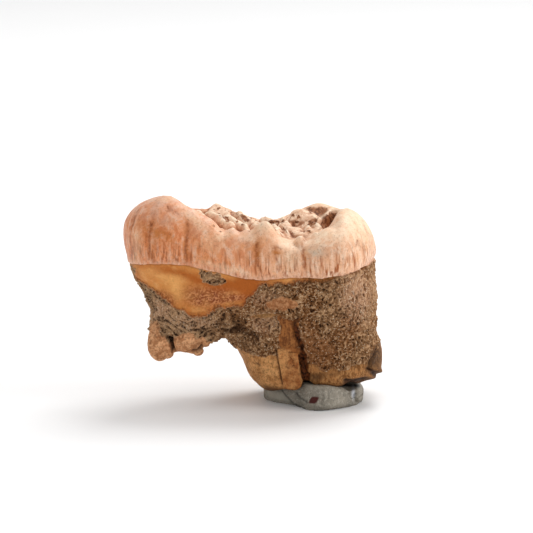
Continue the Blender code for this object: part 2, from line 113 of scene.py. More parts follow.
# Lobes of the chewing surface, as rounded ridges from one point to another: x, y, z, then x, y, z,
# half-width, how far the ridge's side drops over its half-width.
LOBES = (
    ((-5.3, 0.6, 23.55), (-3.1, -2.2, 22.85), 0.8, 1), ((-6.9, -0.6, 23.9), (-4.8, -3.9, 22.75), 0.85, 1),
    ((-3.2, 1.6, 22.9), (-1, -1.8, 22.3), 0.85, 1.1), ((-1.8, 4.4, 22.75), (-0.4, 2.6, 22.2), 0.85, 1),
    ((-5.4, 4.3, 23), (-3.4, 4.9, 22.9), 0.8, 0.9), ((-2.7, -3.2, 22), (-1.5, -4.3, 21.8), 0.7, 0.8),
    ((-0.6, -2, 21.8), (0.4, -3.8, 21.8), 0.75, 0.9), ((0.4, 1.8, 22), (1.4, -1, 21.8), 0.85, 1),
    ((1.3, 4.6, 22.1), (2.8, 3.2, 22), 0.8, 0.9), ((2.6, -1.2, 22.15), (4.6, -4.4, 21.1), 0.95, 0.9),
    ((3.9, 0.2, 22.2), (5.9, -3.6, 21.6), 1.05, 1), ((5.9, 3.2, 23.35), (7.3, 2.2, 22.9), 2, 2.2),
    ((3.9, 2.6, 22.5), (4.3, 0.6, 22), 0.8, 1), ((7, -2.2, 22.2), (7, -3.2, 22), 0.75, 0.9),
    ((7.7, -0.6, 22.4), (8.2, -1.6, 22.1), 0.75, 0.8), ((8.4, 2.2, 22.5), (10, 4.8, 23.3), 0.45, 0.5),
    ((9, -3, 22), (9.7, -4.4, 22.1), 0.7, 0.8),
)
# Bumps of the near rim that stand out on its wall: x, y, half-width, height of the top.
RIM_BUMPS = ((5.8, -6.5, 0.95, 21.75), (9.1, -5.6, 0.9, 22.3), (7.9, -5.9, 0.9, 22.1))
# Small rises and dips of the crown's top: x, y, half-widths along x and y, height.
CROWN_SWELLS = (
    (-9.7, -1, 0.8, 3, 0.5), (-8.2, -1, 0.6, 2.5, -0.28), (1.45, -6.4, 0.42, 1.2, -0.17),
    (0.5, -6.3, 0.4, 1, 0.12), (2.45, -6.3, 0.45, 1, 0.18), (10.1, -5.2, 0.65, 1.3, -0.5),
)
# The deep pit behind the right end: x, y, radius along x and y, height of its floor.
PIT = (9.7, 1.3, 1.4, 2.0, 20.2)
# The large boss, which has no nodules of its own: x, y, radius along x and y.
BOSS = (5.8, 2.8, 2.2, 2.0)
# Vertical furrows down the crown's near wall: x, half-width, depth.
WALL_FURROWS = ((-8.3, 0.8, 0.28), (-4.2, 1.6, 0.2), (-0.8, 0.5, 0.14), (0.4, 0.4, 0.1), (6.5, 0.5, 0.3))

# Where the crust that covers the roots begins, below the bare dentine, and where it ends: x, height.
CRUST_TOP_NEAR = (
    (-15.4, 16), (-14.4, 15.4), (-12.8, 14.4), (-10.9, 13.6), (-9, 12.3), (-6.6, 11.6), (-5.3, 12.3),
    (-3.5, 13), (-1, 13.4), (0.2, 14.7), (1.2, 15.7), (4, 16), (8.3, 16.4), (11.5, 17.2), (15.5, 18.2),
)
CRUST_TOP_FAR = (
    (-15.4, 15), (-12, 13.2), (-8, 14.4), (-4, 15.6), (0, 14.2), (4, 12.6), (7.5, 14.8), (11, 16.6),
    (15.5, 17.6),
)
CRUST_FOOT_NEAR = (
    (-13.5, 9.8), (-11.5, 9.2), (-9.8, 8.7), (-8.5, 9), (-6.1, 8.9), (-4.5, 7.6), (-2.1, 7.2), (-0.6, 6.7),
    (1.1, 6.6), (3.1, 7), (4.6, 6.8), (6, 5.4), (7.3, 5.6), (8.9, 5.3), (10.8, 5), (12.3, 5.7), (13.9, 6.1),
    (15.1, 7.4), (16.2, 8.3),
)
CRUST_FOOT_FAR = ((-13.5, 10), (-8, 9.6), (-3, 6.4), (1, 5.4), (5, 7.2), (9, 4.6), (13, 5.2), (16.2, 7))
CRUST_THICKNESS = 0.3
# How far below the sections given further on the bare dentine lies, as a share of the crust's thickness.
BARE_SHARE = 0.2
# Lumps of the crust and the broken bone: how far apart, how high.
CRUST_LUMPS = ((2.4, 0.2), (0.95, 0.16))
BARE_LUMP_SHARE = 0.1
# A strip of the left-hand root that the crust has left bare: middle x, half-width, lowest and highest z.
BARE_STRIP = (4.35, 1.05, 7.0, 11.6)
# A smooth scale of dentine standing out of the crust: x, z, half-length, half-height, rise.
SCALE = (3.6, 13.6, 1.9, 0.85, 0.3)
# Upright grooves of the right root.
# Each row: middle, half-width, depth, height where it starts to fade and height where it is gone.
FAR_GROOVE = (6.4, 1.2, 0.9, 10.0, 13.5)
END_GROOVE = (0.6, 2.2, 0.5, 12.0, 16.0)

# Level sections of the roots: height, left end, right end, half-depth at the left end and at the right end,
# and how deep the far side is beside the near one, where they differ.
TRUNK_SECTIONS = (
    (15, -14.7, 15.2, 6.7, 9, 0.75), (14, -14.1, 15.35, 6.3, 8.9, 0.65), (13, -13.7, 15.5, 5.9, 8.8, 0.55),
    (12, -13.35, 15.6, 5.6, 8.7, 0.48), (11, -13, 15.7, 5.4, 8.6, 0.42), (10, -12.9, 15.75, 5.1, 8.5, 0.38),
    (9.3, -12.6, 15.6, 4.9, 8.3, 0.35), (8.9, -12, 15.4, 4.5, 8.1, 0.3),
)
RIGHT_ROOT_SECTIONS = (
    (14, -5.4, 15, 6.8, 8.7), (12, -5.2, 15.6, 7, 8.8), (10, -4.8, 15.75, 7, 8.7),
    (9, -4.2, 15.65, 6.9, 8.6), (8, -3.3, 15.6, 6.8, 8.5), (7, -2.6, 15.9, 6.8, 8.5),
    (6.3, -2.1, 16.3, 6.7, 8.4), (5.5, -1.64, 16.45, 6.7, 8.4), (4.7, -1.3, 16.4, 6.7, 8.3),
    (3.7, -0.87, 16.25, 6.7, 8.1), (3, -0.5, 16, 6.6, 7.8), (2.4, 0, 15.8, 6.3, 7.4),
    (1.8, 0.55, 15.4, 5.6, 6.5), (1.3, 1.2, 14.2, 4.4, 4.8),
)
LEFT_ROOT_SECTIONS = (
    (14, -13.6, -5, 5.4, 6, 0.5), (12, -13.3, -5.2, 5.6, 6, 0.42), (10.5, -12.95, -5.5, 5.3, 5.6, 0.38),
    (9.4, -13, -5.8, 5.1, 5.2, 0.35), (8.7, -12.8, -6.3, 4.6, 4.6, 0.3),
)
# How much the undersides of the roots lift from the left root's level: x, lift.
SOLE_LIFT = ((-2, 0), (5, 0), (7.5, 0.5), (11, 0.55), (13.5, 1), (15, 1.6), (16.5, 2.2))
# Broken lumps under the left root: centre, radii.
STUMPS = (
    ((-11.75, -4.2, 8), (1.6, 1.8, 2.75)), ((-10.8, -2.7, 8.4), (1.6, 1.8, 2)),
    ((-8.1, -4.1, 8.3), (1.9, 1.9, 1.95)), ((-7.2, -3.6, 7.6), (1.25, 1.3, 1.55)),
    ((-5.7, -5, 8.5), (1.05, 1.3, 1)), ((-11.6, -0.4, 9.2), (1.3, 1.8, 1.4)),
)
# A flake that stands out at the foot of the right root: centre, radii.
CORNER_FLAKE = ((14.6, -2.6, 4.0), (1.5, 2.0, 0.95))
# The pulp chamber that the broken left root lays open from below: centre, radii.
PULP_HOLLOW = ((-8.8, 1.6, 8.6), (3.2, 3.2, 4.6))

# The putty's outline where it is widest, from its left end along the near side: x, y, height of its top.
PUTTY_STATIONS = (
    (1.3, -0.3, 1.7), (1.65, -2.1, 1.9), (3.1, -3.7, 2.1), (4.8, -4.8, 2.4), (5.9, -5.7, 2.9),
    (6.8, -7.5, 3.1), (8.3, -8.3, 3), (10.1, -7.6, 2.9), (12, -6, 2.7), (13.4, -4.1, 2.6),
    (13.85, -0.6, 2.5), (13.5, 3.6, 2.5), (11.2, 6.6, 2.5), (7.2, 7.3, 2.5), (3.6, 6.2, 2.3),
    (1.6, 3.4, 1.9),
)
# The fold where the putty's front lump lies over its left part, from its top down in the front view.
FOLD = ((2.9, 2.0), (3.5, 1.35), (4.15, 0.5), (5.1, -0.45), (6.4, -1.15))
# A crease that runs right of the fold.
SIDE_CREASE = ((5.4, 0.9), (5.9, 0.3), (6.8, -0.3))
# The dark fleck on the putty: u, v, half-width, half-height.
FLECK = (7.57, 0.0, 0.5, 0.42)
# A hollow of the putty's top, seen from above, and a painted highlight on its right end in the front view.
# Each: middle, half-sizes.
DIP = (12.2, -4.6, 1.5, 1.8)
PAINTED_SHEEN = (12.5, 0.9, 0.22, 0.8)
# Painted shade in the gap between the tooth and the putty's right end.
PUTTY_GAP_SHADE = ((11.0, 1.9), (12.1, 1.85), (13.1, 1.8))
# Creases and ridges of the putty in the front view: path, half-width, depth, less than 0 for a ridge.
PUTTY_CREASES = (
    (((8.5, 1.4), (8.65, 0.4), (8.5, -0.6)), 0.14, 0.12), (((8.85, 1.3), (9, 0.2)), 0.12, -0.1),
    (((9.25, 1.4), (9.4, 0.3), (9.2, -0.5)), 0.1, 0.08),
    (((5.4, 0.9), (5.9, 0.3), (6.8, -0.3)), 0.14, 0.04), (((4.6, 1.3), (5.4, 1), (6.6, 1.1)), 0.12, 0.07),
    (((11.9, 1.5), (12.2, 0.6), (12.7, -0.1)), 0.18, 0.2),
    (((12.75, 1.7), (12.85, 0.8), (13.1, -0.3)), 0.16, 0.5), (((4.2, 0.1), (6, 0.5), (7, 0.2)), 0.5, 0.06),
    (((9.6, 0.9), (11, 0.3), (12, -0.2)), 0.5, 0.06),
)

# Cuts and cracks of the near side in the front view: path, half-width, depth, how dark, the darkness being
# painted shade in the cut.
CUTS = (
    (((-11.4, 9), (-10.8, 7.9)), 0.4, 0.3, 0.35),
    (((-10.4, 7.9), (-10.2, 7.2), (-10, 6.2)), 0.22, 0.65, 0.8),
    (((-7.6, 6.3), (-7, 6.35), (-6.5, 6.7)), 0.2, 0.35, 0.85),
    (((-12.2, 9.6), (-11.6, 8.4), (-11.4, 7.9)), 0.16, 0.2, 0.4),
    (((2.84, 6.4), (3.15, 4.7), (3.66, 1.9)), 0.1, 0.22, 0.8), (((0.4, 4.7), (0.9, 4.4)), 0.12, 0.1, 0.7),
    (((0.6, 3.5), (1.3, 3.4)), 0.1, 0.06, 0.4), (((4.2, 4.3), (4.5, 4.1)), 0.14, 0.1, 0.5),
    (((-3.6, 8.4), (-2.2, 8.9), (-1, 8.3)), 0.3, 0.3, 0.6),
    (((-2.4, 9.6), (-0.9, 8.9), (0.4, 7.9)), 0.25, 0.25, 0.55),
    (((5.5, 11.4), (5.6, 9.8)), 0.14, 0.15, 0.5), (((14, 3.8), (14.6, 3.3), (14.7, 2.9)), 0.3, 0.35, 1),
    (((14.1, 3.7), (14.4, 4.9), (15.2, 6.6)), 0.16, 0.25, 0.6),
    (((11.6, 2.25), (12.6, 2.1), (13.6, 2.4)), 0.4, 0.5, 1),
)
# Small lumps of the broken left root besides the solid's own: centre, radii.
BULBS = (
    ((-10.6, -4, 6.75), (0.85, 1.1, 1)), ((-11.9, -4.4, 7.6), (1.5, 1.6, 1.9)),
    ((-8.6, -4.6, 8.1), (1.5, 1.7, 1.5)), ((-6.85, -4, 6.65), (0.8, 0.8, 0.75)),
)
# The groove of the near side in the front view: height, its left edge, its right edge, its depth.
GROOVE = (
    (0, 6.3, 7.2, 1), (2.5, 6.15, 7.1, 1), (3.5, 5.9, 6.95, 1), (5, 5.75, 6.65, 0.9), (6.6, 5.5, 6.4, 0.75),
    (8.9, 4.95, 5.9, 0.45), (10.2, 4.95, 5.5, 0.2), (11, 5, 5.3, 0), (30, 5, 5.3, 0),
)
# The broken-off plate left of that groove: height, its left edge, and the height of its top edge.
PLATE_EDGE = ((0.0, 3.9), (1.9, 3.69), (4.7, 3.19), (6.1, 2.85), (8.0, 2.6))
PLATE_TOP = 6.85
# The plate is bare up to this far below its top, which bends down on both sides: middle, half-width, drop.
PLATE_BARE = 0.45
PLATE_BEND = (4.4, 1.4, 0.6)
# The near side's lower edge in the front view: across, height.
SOLE_LINE = (
    (-1, 1.2), (1.1, 1.25), (2.1, 1.2), (3.9, 1.5), (5.85, 1.7), (6.3, 2.2), (7.1, 2.45), (7.9, 1.85),
    (9, 1.65), (10.3, 1.6), (11.2, 1.95), (12.1, 2.4), (13.1, 2.2), (14.6, 2.5), (17, 2.6),
)
# How far the near side's outline stands out of the solid's: height in the front view, millimetres.
RIGHT_REACH = (
    (0, 0), (2.2, 0), (2.45, 0.5), (2.6, 1.05), (3, 0.85), (3.3, 0.6), (3.45, 0.95), (4, 0.5), (4.7, 0.1),
    (5.5, 0.2), (6.3, 0.3), (7, 0.35), (7.8, 0), (15.2, 0), (16.4, -0.2), (17.5, -0.35), (18.2, -0.1),
    (18.8, 0),
)
LEFT_REACH = (
    (8.6, 0), (9.3, 0.1), (10, 0.25), (10.8, 0.4), (11.5, 0.6), (12.3, 0.4), (13, 0.5), (13.8, 0.5),
    (14.5, 0.35), (15.3, -0.1), (16, -0.25), (17.3, -0.25), (18.2, 0),
)

# Round patches of the near side in the front view.
# Each row: middle, half-sizes, strength or rise, and the turn in degrees where it has one.
SWELLINGS = (
    (-11.7, 7, 1.45, 2.1, 0.45), (-10.55, 6, 0.62, 0.8, 0.35), (-8.2, 7.2, 1.75, 1.15, 0.5, 5),
    (-6.85, 6.1, 0.75, 0.5, 0.3), (-5.9, 7, 0.45, 0.4, 0.25), (13.9, 5.4, 1.3, 1.7, 0.2, -20),
    (0.6, 4.2, 2.2, 1.9, 0.15, 30),
)
CRUST_ISLES = (
    (-5.3, 15.2, 1.7, 0.85, 1.1, -15), (-15, 16.3, 0.6, 1.2, 0.75, 15), (-10.5, 8, 0.55, 1, 1, 10),
    (-7.7, 8.7, 1.3, 0.45, 0.9), (-14.6, 13.6, 0.4, 1.6, 0.6, 25),
)
CRUST_GAPS = (
    (-12.35, 8.7, 0.75, 1.3, 1, 10), (-8.4, 7.6, 1.5, 0.9, 1), (15.2, 5.6, 0.85, 1.7, 1.1, -12),
    (1.5, 10.55, 2, 0.32, 1, 4),
)
# Brown dirt and painted shade in the folds of the chewing surface, and small brown marks of the near rim.
BASIN_DIRT_AND_SHADE = (
    (-4.2, 23.2, 1.5, 0.2, 0.45, -38), (-2.6, 23.5, 1.6, 0.3, 0.35, -20), (8, 23.76, 1.45, 0.42, 1, -3),
    (8.5, 23.3, 0.65, 0.5, 0.9), (9.75, 22.4, 1.25, 0.9, 1, 38), (7.4, 22.25, 0.7, 0.4, 0.9, 30),
    (3.8, 22.35, 0.15, 0.35, 0.8, -40), (4.94, 23.07, 0.22, 0.22, 1), (5.68, 22.9, 0.2, 0.3, 1),
    (5.5, 22.25, 0.5, 0.2, 0.6), (-4.36, 23.95, 0.25, 0.15, 0.8), (-3.3, 22.65, 0.25, 0.4, 1, 30),
    (-1, 22.7, 0.65, 0.3, 1, -40), (-2.07, 22.37, 0.22, 0.2, 0.9), (-1.3, 21.95, 0.25, 0.18, 0.7),
    (2.6, 22.3, 0.85, 0.25, 0.9), (4.1, 21.1, 0.7, 0.15, 0.8, -50), (5, 20.75, 0.5, 0.25, 0.65, -40),
    (8.2, 21.4, 0.3, 0.15, 0.7), (6.9, 21.1, 0.25, 0.15, 0.7),
)
RIM_MARKS = (
    (-5, 21.7, 0.22, 0.2, 0.7), (-4.6, 21.35, 0.2, 0.1, 0.6, 40), (-4.1, 21.05, 0.35, 0.14, 0.6, -20),
    (-0.54, 21.12, 0.2, 0.12, 0.8), (1.54, 21.7, 0.17, 0.15, 0.8), (9.65, 20.8, 0.14, 0.1, 0.7),
    (8.2, 20.85, 0.2, 0.1, 0.6), (-10.6, 24, 0.3, 0.2, 0.6, -30), (3.2, 20.65, 0.4, 0.1, 0.6, -25),
    (-10.96, 23.6, 0.16, 0.14, 0.8),
)
# Where the dirt and painted shade end at the near rim: u, y.
BRIM = ((8.0, -4.4), (9.2, -2.9))
# Stains, by the field of the mesh that steers their colour.
PATCHES = {
    "amber": (
        (-12.8, 20.2, 1.2, 2.4, 0.4), (-13.9, 22.1, 0.8, 0.9, 0.3), (-11.5, 20.8, 1.2, 0.7, 0.55),
        (-10.4, 20.1, 0.5, 0.6, 0.5), (-6, 18.3, 1.8, 1.7, 0.35), (-8.4, 18.6, 0.4, 1.5, 0.5),
        (0.5, 18.5, 0.4, 1.6, 1), (3, 18.55, 0.7, 0.6, 1), (2.2, 19.8, 0.5, 0.7, 0.4),
        (-1.9, 20.2, 0.6, 1.4, 0.35), (6.3, 17.6, 0.9, 0.8, 0.4), (9, 23, 1.3, 0.6, 0.3),
        (1.9, 17.7, 0.6, 0.7, 0.4),
    ),
    "grey": (
        (8.2, 18.4, 1.35, 0.65, 1, -5), (-10.8, 22.3, 0.9, 0.45, 0.7, 15), (-7, 21.2, 1.3, 1, 0.3),
        (-12.2, 24.9, 1.2, 0.9, 0.35),
    ),
    "pale": (
        (4.6, 17.4, 1.2, 1.2, 0.5), (-2.9, 21.1, 2.4, 0.7, 0.55, 25), (1.7, 21.8, 1.4, 1, 1),
        (-0.6, 20.6, 1.4, 0.8, 0.7, 20), (4.6, 19.9, 1, 0.9, 0.7, -30), (13.6, 22.2, 2.2, 2.6, 0.9),
        (-10.6, 25.2, 1.8, 0.35, 0.6, 5), (-7.4, 22.8, 2.4, 0.7, 0.7, -42), (9, 20.9, 1.6, 0.5, 0.6),
        (-5.2, 19.6, 1.6, 1.2, 0.4), (-14.6, 19.6, 0.6, 2.8, 0.5), (-3.6, 16.6, 3.4, 0.35, 0.6, -14),
    ),
    "sooty": (
        (14.9, 5.2, 1.3, 1.9, 1), (1.5, 10.55, 2.2, 0.5, 0.6, 4), (15.4, 8, 0.8, 1.6, 0.6),
        (7.6, 2.6, 0.9, 0.7, 0.7), (9, 3.1, 1.6, 0.4, 0.35, 10), (-6.9, 6.9, 1.4, 0.5, 0.3),
        (1, 6.4, 1.6, 0.5, 0.35),
    ),
    "deep": (
        (-1.8, 14.4, 3.2, 0.8, 1), (-0.4, 13.2, 1.5, 1.3, 1), (-4.6, 13.9, 2, 0.9, 0.7),
        (-7.4, 14.4, 1.2, 1, 0.45), (-11, 16.2, 2.8, 0.5, 0.75, -8), (-7.4, 15.2, 2.4, 0.5, 0.8, -14),
        (0.2, 15.2, 2.2, 0.5, 0.8),
    ),
    "yellow": (
        (-10.2, 15.2, 2.1, 0.6, 0.7, -8), (-9.6, 13.6, 0.9, 1.7, 0.8, 15), (-12.6, 16.2, 1.2, 0.5, 0.6),
    ),
    "red": (
        (-6.6, 12.8, 2.4, 1.35, 1, -12), (-4.1, 13, 2.2, 0.9, 0.9), (-2.4, 12.7, 1.8, 0.45, 0.7, 8),
        (-10.9, 12.9, 1.5, 0.7, 0.7, -25), (-14.9, 16, 0.9, 1.6, 0.8, 10),
    ),
    "dark": (
        (-2.6, 8.9, 2.2, 0.6, 0.7, -18), (0.2, 7.6, 1, 0.9, 0.7), (-13.6, 12.9, 0.5, 2.2, 0.6, 25),
        (6.3, 14.6, 3.2, 0.7, 0.45), (8.3, 7.4, 2.6, 2.2, 0.35),
    ),
    "rust": (
        (8, 5.4, 1.6, 2.2, 1), (8.6, 6.4, 1.9, 1.2, 0.8), (6.9, 8.2, 1.2, 2.6, 0.7),
        (11.6, 8.5, 2.2, 2.4, 0.2), (1.6, 11.9, 2.4, 0.7, 0.6),
    ),
    "pink": (
        (-11.9, 11.2, 1.6, 1.8, 0.8, 30), (-7.6, 9.8, 2.4, 1.2, 0.7), (12.9, 13, 1.9, 3.2, 0.9),
        (1.4, 9.6, 1.6, 1.3, 0.5), (1.6, 12.6, 1.8, 0.9, 0.5),
    ),
}
# The stains that lie on the root alone.
ROOT_PATCHES = ("sooty", "deep", "red", "yellow")
# Drawn marks of the near side in the front view: path, half-width, strength.
STAINS = (
    (((-10.6, 24.1), (-10.5, 23.65)), 0.2, 1),
    (((-14.4, 23.8), (-15.35, 21.4), (-15.3, 19.8), (-15.05, 17.7)), 0.12, 0.7),
    (((-10.6, 23.9), (-9.4, 23.3)), 0.15, 0.5), (((-12.83, 22), (-12.88, 21.1)), 0.26, 1),
    (((-12.95, 20.8), (-13.1, 19.2), (-12.9, 17.6)), 0.14, 0.75),
    (((-8.25, 22.3), (-8.35, 20.5), (-8.5, 18.9), (-8.4, 17.3)), 0.17, 0.7),
    (((-12, 24.8), (-12.35, 23.4), (-12.3, 22.2)), 0.3, 0.35),
    (((-15, 20.6), (-14.7, 18.8), (-14.3, 17.3)), 0.1, 0.35), (((-11.2, 20), (-11, 18.3)), 0.12, 0.4),
    (((-10.8, 18.6), (-10.4, 17.2)), 0.1, 0.45), (((-6.4, 19.7), (-6.5, 17.4)), 0.1, 0.3),
    (((0.5, 19.5), (0.4, 18), (0.9, 15.9)), 0.16, 0.75),
    (((2.75, 19.2), (2.9, 17.6), (3.2, 16.1)), 0.12, 0.65),
    (((4, 22), (4.4, 21.2), (5, 20.6), (6.2, 20.2)), 0.13, 0.35),
    (((6.55, 20.3), (6.2, 19.3), (6.2, 18.3), (6.35, 16.6)), 0.17, 0.75),
    (((-0.75, 19.8), (-0.8, 17)), 0.1, 0.35), (((10.45, 19.6), (10.5, 17.2)), 0.1, 0.4),
    (((11.15, 19), (11.2, 16.6)), 0.09, 0.3), (((12.6, 22.2), (13.6, 20.4), (13.9, 18.3)), 0.1, 0.45),
    (((13.6, 22.4), (14.4, 20.6), (14.75, 18.4)), 0.09, 0.4), (((12.98, 19.95), (12.88, 19.4)), 0.12, 0.9),
    (((1.45, 23), (1.6, 22.6)), 0.13, 0.8), (((-0.35, 22.6), (-0.45, 22.2)), 0.12, 0.7),
    (((2.5, 19), (3, 19.15), (3.65, 18.85)), 0.08, 0.7), (((5.4, 19.7), (6, 18.6)), 0.12, 0.5),
    (((6.9, 19.1), (8.2, 19.3), (9.4, 18.8)), 0.1, 0.35), (((-12.2, 20), (-12, 18)), 0.12, 0.5),
    (((-10.2, 19.7), (-10, 18.2), (-9.7, 17.3)), 0.12, 0.45),
)
# A painted highlight line along a rim edge at the upper right, in the front view: path.
PAINTED_HIGHLIGHT_LINE = ((8.35, 22.65), (9.3, 23.5), (10.1, 24.1))

# Sizes of the noises that break up each look's colours: size, detail, roughness, distortion.
TOOTH_NOISES = {
    "broad": (3.2, 3.0),
    "patchy": (1.1, 3.0, 0.55),
    "fine": (0.4, 2.0, 0.6),
    "speck": (0.16, 1.0),
    "streaks": ((0.42, 0.42, 4.5), 2.0, 0.6, 0.3),
    "threads": ((0.26, 0.26, 1.8), 1.0),
    "grainy": (0.28, 3.0, 0.7),
    "veins": ((0.8, 0.8, 1.5), 4.0, 0.62, 0.5),
    "fibres": ((0.22, 0.22, 1.6), 2.0, 0.6, 0.4),
}
PUTTY_NOISES = {"broad": (2.5, 3.0), "fine": (0.35, 3.0, 0.6), "speck": (0.16, 1.0)}
FLOOR_NOISES = {"cloudy": (40.0,)}


def along(points, x):
    """A smooth height read at x from (x, height) points."""
    px, pz = np.array(points, float).T
    slope = np.gradient(pz, px)
    x = np.clip(x, px[0], px[-1])
    i = np.clip(np.searchsorted(px, x) - 1, 0, len(px) - 2)
    width = px[i + 1] - px[i]
    t = (x - px[i]) / width
    ends = pz[i] * (1 + 2 * t) * (1 - t) ** 2 + pz[i + 1] * t * t * (3 - 2 * t)
    return ends + width * t * (1 - t) * (slope[i] * (1 - t) - slope[i + 1] * t)


def closed_spline(rows, count):
    """The rows read round a smooth closed curve, at count even steps."""
    rows = np.asarray(rows, float)
    at = np.arange(count) * len(rows) / count
    i = np.floor(at).astype(int)
    t = (at - i)[:, None]
    a, b, c, d = (rows[(i + k) % len(rows)] for k in (-1, 0, 1, 2))
    return b + 0.5 * t * (c - a + t * (2 * a - 5 * b + 4 * c - d + t * (3 * (b - c) + d - a)))


def fade(low, high, value):
    """0 where the value is at low, 1 where it is at high, and smooth in between."""
    t = np.clip((value - low) / (high - low), 0.0, 1.0)
    return t * t * (3 - 2 * t)


def loft(name, rings):
    """A closed body through rings of equal count, with its two ends capped."""
    count = len(rings[0])
    points = [tuple(point) for ring in rings for point in ring]
    faces = []
    for k in range(len(rings) - 1):
        for j in range(count):
            following = (j + 1) % count
            low, high = k * count, (k + 1) * count
            faces.append((low + j, low + following, high + following, high + j))
    faces.append(tuple(range(count))[::-1])
    faces.append(tuple(range((len(rings) - 1) * count, len(rings) * count)))
    mesh = bpy.data.meshes.new(name)
    mesh.from_pydata(points, [], faces)
    return faced_out(mesh)


def faced_out(mesh):
    """The mesh with its faces' normals turned outwards."""
    bm = bmesh.new()
    bm.from_mesh(mesh)
    bmesh.ops.recalc_face_normals(bm, faces=bm.faces)
    bm.to_mesh(mesh)
    bm.free()
    return mesh


def ellipsoid(name, centre, radii):
    bm = bmesh.new()
    bmesh.ops.create_uvsphere(bm, u_segments=32, v_segments=20, radius=1.0)
    shape = Matrix.Translation(centre) @ Matrix.Diagonal((*radii, 1.0))
    bmesh.ops.transform(bm, matrix=shape, verts=bm.verts)
    mesh = bpy.data.meshes.new(name)
    bm.to_mesh(mesh)
    bm.free()
    return mesh


def crown_and_trunk_rings():
    """Rings from the broken underside up the trunk and the bulging enamel to the crest and into the basin."""
    x, y, neck_in, neck, wide, crest_in, crest = closed_spline(CROWN_STATIONS, COLUMNS).T
    outline = np.stack([x, y], 1)
    run = np.roll(outline, -1, 0) - np.roll(outline, 1, 0)
    outward = np.stack([run[:, 1], -run[:, 0]], 1) / np.linalg.norm(run, axis=1)[:, None]

    def ring(inset, height):
        return np.column_stack([outline - outward * inset[:, None], height])

    rings = [root_ring(*section) for section in TRUNK_SECTIONS[::-1]]
    rings.append(ring(neck_in + ENAMEL_STEP, neck - 0.9))
    rings.append(ring(neck_in + ENAMEL_STEP, neck - 0.15))
    for share in (0.0, 0.12, 0.3, 0.6):
        rings.append(ring(neck_in * (1 - share) ** 2, neck + (wide - neck) * share))
    for degrees in range(0, 91, 10):
        turn = math.radians(degrees)
        rings.append(ring(crest_in * (1 - math.cos(turn)), wide + (crest - wide) * math.sin(turn)))
    rim = rings[-1]
    spine = np.column_stack([np.clip(rim[:, 0], *BASIN_SPINE), np.zeros(COLUMNS), np.zeros(COLUMNS)])
    for share in (0.12, 0.25, 0.4, 0.6, 0.8, 0.97):
        point = rim + (spine - rim) * share
        floor = along(BASIN_FLOOR, point[:, 0])
        point[:, 2] = rim[:, 2] + (floor - rim[:, 2]) * fade(-0.1, 0.75, share)
        rings.append(point)
    return rings


def root_ring(height, left, right, depth_left, depth_right, far_share=1.0, power=2.7):
    """One level section of a root: a rounded oblong, read from its left end along the near side."""
    turn = math.pi + np.arange(COLUMNS) * 2 * math.pi / COLUMNS
    cos, sin = np.cos(turn), np.sin(turn)
    x = (left + right) / 2 + (right - left) / 2 * np.sign(cos) * np.abs(cos) ** (2 / power)
    depth = depth_left + (depth_right - depth_left) * (x - left) / (right - left)
    y = depth * np.sign(sin) * np.abs(sin) ** (2 / power)
    y *= np.where(y > 0, far_share + (1 - far_share) * fade(left, right, x), 1.0)
    return np.column_stack([x, y, np.full(COLUMNS, height)])


def linked(name, data):
    """A new object of the scene that holds the mesh, lamp or camera."""
    made = bpy.data.objects.new(name, data)
    bpy.context.scene.collection.objects.link(made)
    return made


def applied(holder):
    """The object's mesh with its modifiers taken into it. The object goes."""
    graph = bpy.context.evaluated_depsgraph_get()
    mesh = bpy.data.meshes.new_from_object(holder.evaluated_get(graph))
    old = holder.data
    bpy.data.objects.remove(holder)
    bpy.data.meshes.remove(old)
    return mesh


def skinned(name, mesh, voxel, rounds):
    """One skin of even faces round the mesh, softened for so many rounds."""
    holder = linked(name, mesh)
    remesh = holder.modifiers.new("Skin", "REMESH")
    remesh.mode = "VOXEL"
    remesh.voxel_size = voxel
    soften = holder.modifiers.new("Soften", "SMOOTH")
    soften.factor = 0.5
    soften.iterations = rounds
    return applied(holder)


def fused(name, meshes):
    """One skin round all the meshes."""
    bm = bmesh.new()
    for mesh in meshes:
        bm.from_mesh(mesh)
        bpy.data.meshes.remove(mesh)
    mesh = bpy.data.meshes.new(name)
    bm.to_mesh(mesh)
    bm.free()
    return skinned(name, mesh, VOXEL, 4)


def cut(mesh, cutter):
    """The mesh less the cutter, which must both be closed."""
    holder = linked("cut", mesh)
    tool = linked("cutter", cutter)
    difference = holder.modifiers.new("Cut", "BOOLEAN")
    difference.operation = "DIFFERENCE"
    difference.solver = "EXACT"
    difference.object = tool
    result = applied(holder)
    bpy.data.objects.remove(tool)
    bpy.data.meshes.remove(cutter)
    return result


def refined(mesh):
    """The mesh with each of its faces divided twice."""
    holder = linked("refined", mesh)
    finer = holder.modifiers.new("Finer", "SUBSURF")
    finer.levels = finer.render_levels = 2
    return applied(holder)


def lightened(mesh):
    """The mesh with fewer triangles where it is plain."""
    holder = linked("lightened", mesh)
    holder.modifiers.new("Facets", "TRIANGULATE")
    fewer = holder.modifiers.new("Fewer", "DECIMATE")
    fewer.ratio = FINE_TRIANGLES / sum(len(face.vertices) - 2 for face in mesh.polygons)
    fewer.use_collapse_triangulate = True
    return applied(holder)


def skin():
    """The smooth skin round the crown and roots, before any relief."""
    pieces = [loft("crown", crown_and_trunk_rings())]
    for name, sections in (("right", RIGHT_ROOT_SECTIONS), ("left", LEFT_ROOT_SECTIONS)):
        pieces.append(loft(name, [root_ring(*section) for section in sections]))
    pieces += [ellipsoid("lump", *lump) for lump in (*STUMPS, *BULBS, CORNER_FLAKE)]
    solid = fused("molar", pieces)
    return fused("molar", [cut(solid, ellipsoid("pulp hollow", *PULP_HOLLOW))])


def read(mesh):
    """The mesh's points and the normals there."""
    found = []
    for layer, key in ((mesh.vertices, "co"), (mesh.vertex_normals, "vector")):
        values = np.empty(len(layer) * 3, np.float32)
        layer.foreach_get(key, values)
        found.append(values.reshape(-1, 3).astype(float))
    return found


